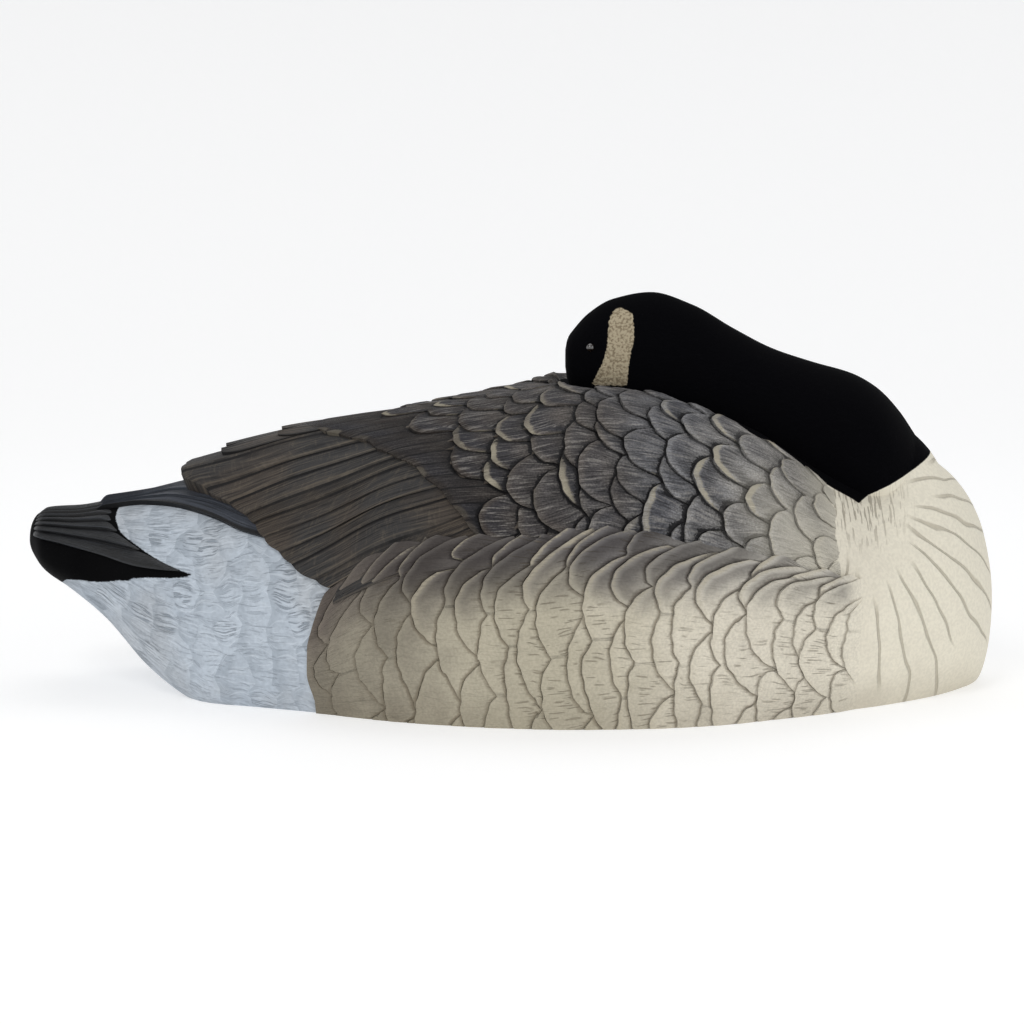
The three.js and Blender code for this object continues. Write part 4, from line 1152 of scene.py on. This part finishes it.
def paintInside():
    tree, shader, feather, painted = startMaterial("insidePlastic")
    mottle = useGroup(tree, mottleGroup, {"Patch": 9.0, "Grain": 300.0})
    part = split(tree, feather)
    place = add(tree, "ShaderNodeCombineXYZ",
                {0: times(tree, part[0], 0.03), 1: times(tree, part[1], 0.008)}).outputs[0]
    flow = add(tree, "ShaderNodeTexNoise", {"Vector": place, "Scale": 1.0, "Detail": 3.0}).outputs[0]
    base = blend(tree, within(tree, flow, 0.35, 0.65, 0.0, 0.5), colours["inside"], colours["insidePale"])
    base = blend(tree, times(tree, mottle["Worn"], 0.3), base, colours["insidePale"])
    height = scaled(tree, mottle["Grain"], 0.2, flow)
    finishMaterial(tree, shader, base, within(tree, mottle["Patches"], 0.3, 0.7, 0.4, 0.6), height, 0.4,
                   0.001)


paintBack()
paintFlank()
paintWing("wingPaint", colours["wingBrown"], colours["wingSlate"], colours["wingPale"], colours["wingDark"],
          0.95, 0.55, 0.2)
paintWing("primaryPaint", colours["primary"], colours["primarySlate"], colours["primaryPale"],
          colours["primaryDark"], 0.95, 0.42, 0.3)
paintWing("tailPaint", colours["tail"], colours["tailSlate"], colours["tailPale"], colours["tailBlack"],
          0.94, 0.34, 0.4)
paintRump()
paintBreast()
paintHead()
paintEye()
paintInside()
print("finishes ready")

studio = {"flat": 1.3, "far": 4.2, "height": 2.6, "lines": 60, "columns": 96}


def buildFloor():
    # a wide shallow bowl: flat in the middle and turned up far out, as a ring profile carried round the
    # middle
    r, turn = np.meshgrid(np.linspace(0, studio["far"], studio["lines"]),
                          np.linspace(0, 2 * pi, studio["columns"] + 1), indexing="ij")
    z = studio["height"] * ease(studio["flat"], studio["far"] * 1.25, r) ** 1.4
    points = np.stack([r * np.cos(turn), r * np.sin(turn), z], -1)[:, :-1]
    index = np.arange(r.shape[0] * studio["columns"]).reshape(r.shape[0], -1)
    after = np.roll(index, -1, 1)
    faces = np.stack([index[:-1], after[:-1], after[1:], index[1:]], -1)[1:].reshape(-1, 4)
    middle = index[1].tolist()
    mesh = bpy.data.meshes.new("floor")
    mesh.from_pydata(points.reshape(-1, 3).tolist(), [], faces[:, ::-1].tolist() + [middle])
    mesh.shade_smooth()
    floor = bpy.data.objects.new("floor", mesh)
    bpy.context.scene.collection.objects.link(floor)
    material = bpy.data.materials.new("palePaper")
    material.use_nodes = True
    shader = material.node_tree.nodes["Principled BSDF"]
    shader.inputs["Base Color"].default_value = (0.6, 0.6, 0.6, 1)
    shader.inputs["Roughness"].default_value = 0.9
    shader.inputs["Emission Color"].default_value = (1, 1, 1, 1)  # keeps the far paper as pale as the near
    shader.inputs["Emission Strength"].default_value = 0.5
    mesh.materials.append(material)


def addLight(name, place, target, size, power, colour):
    lamp = bpy.data.lights.new(name, "AREA")
    lamp.shape, lamp.size, lamp.size_y = "RECTANGLE", size[0], size[1]
    lamp.energy, lamp.color = power, colour
    holder = bpy.data.objects.new(name, lamp)
    holder.location = place
    aim(holder, target)
    bpy.context.scene.collection.objects.link(holder)


def aim(holder, target):
    away = np.array(target, float) - np.array(holder.location[:])
    flat = math.hypot(away[0], away[1])
    holder.rotation_euler = (pi / 2 + math.atan2(away[2], flat), 0, math.atan2(-away[0], away[1]))


buildFloor()
addLight("keyLight", (-0.9, -2.0, 2.2), (0, 0, 0.1), (1.0, 0.8), 21, (1, 0.985, 0.96))
addLight("fillLight", (2.0, -1.5, 1.3), (0, 0, 0.12), (1.4, 1.4), 6, (0.96, 0.98, 1))
addLight("topLight", (0, 0.9, 2.3), (0, 0, 0.1), (2.0, 1.4), 13, (1, 1, 1))
world = bpy.data.worlds.new("studioAir")
bpy.context.scene.world = world
world.use_nodes = True
world.node_tree.nodes["Background"].inputs["Color"].default_value = (0.95, 0.97, 1, 1)
world.node_tree.nodes["Background"].inputs["Strength"].default_value = 0.42

view = {"from": (0, -1.8, 0.36), "to": (0, 0, 0.12), "width": 0.7168, "sensor": 36}
camera = bpy.data.cameras.new("camera")
camera.sensor_width = camera.sensor_height = view["sensor"]
camera.sensor_fit = "HORIZONTAL"
camera.lens = view["sensor"] * math.dist(view["from"], view["to"]) / view["width"]
camera.clip_start, camera.clip_end = 0.05, 30
eyePoint = bpy.data.objects.new("camera", camera)
eyePoint.location = view["from"]
aim(eyePoint, view["to"])
bpy.context.scene.collection.objects.link(eyePoint)
bpy.context.scene.camera = eyePoint
bpy.context.scene.view_settings.view_transform = "Standard"
bpy.context.scene.view_settings.look = "None"
print("studio ready")
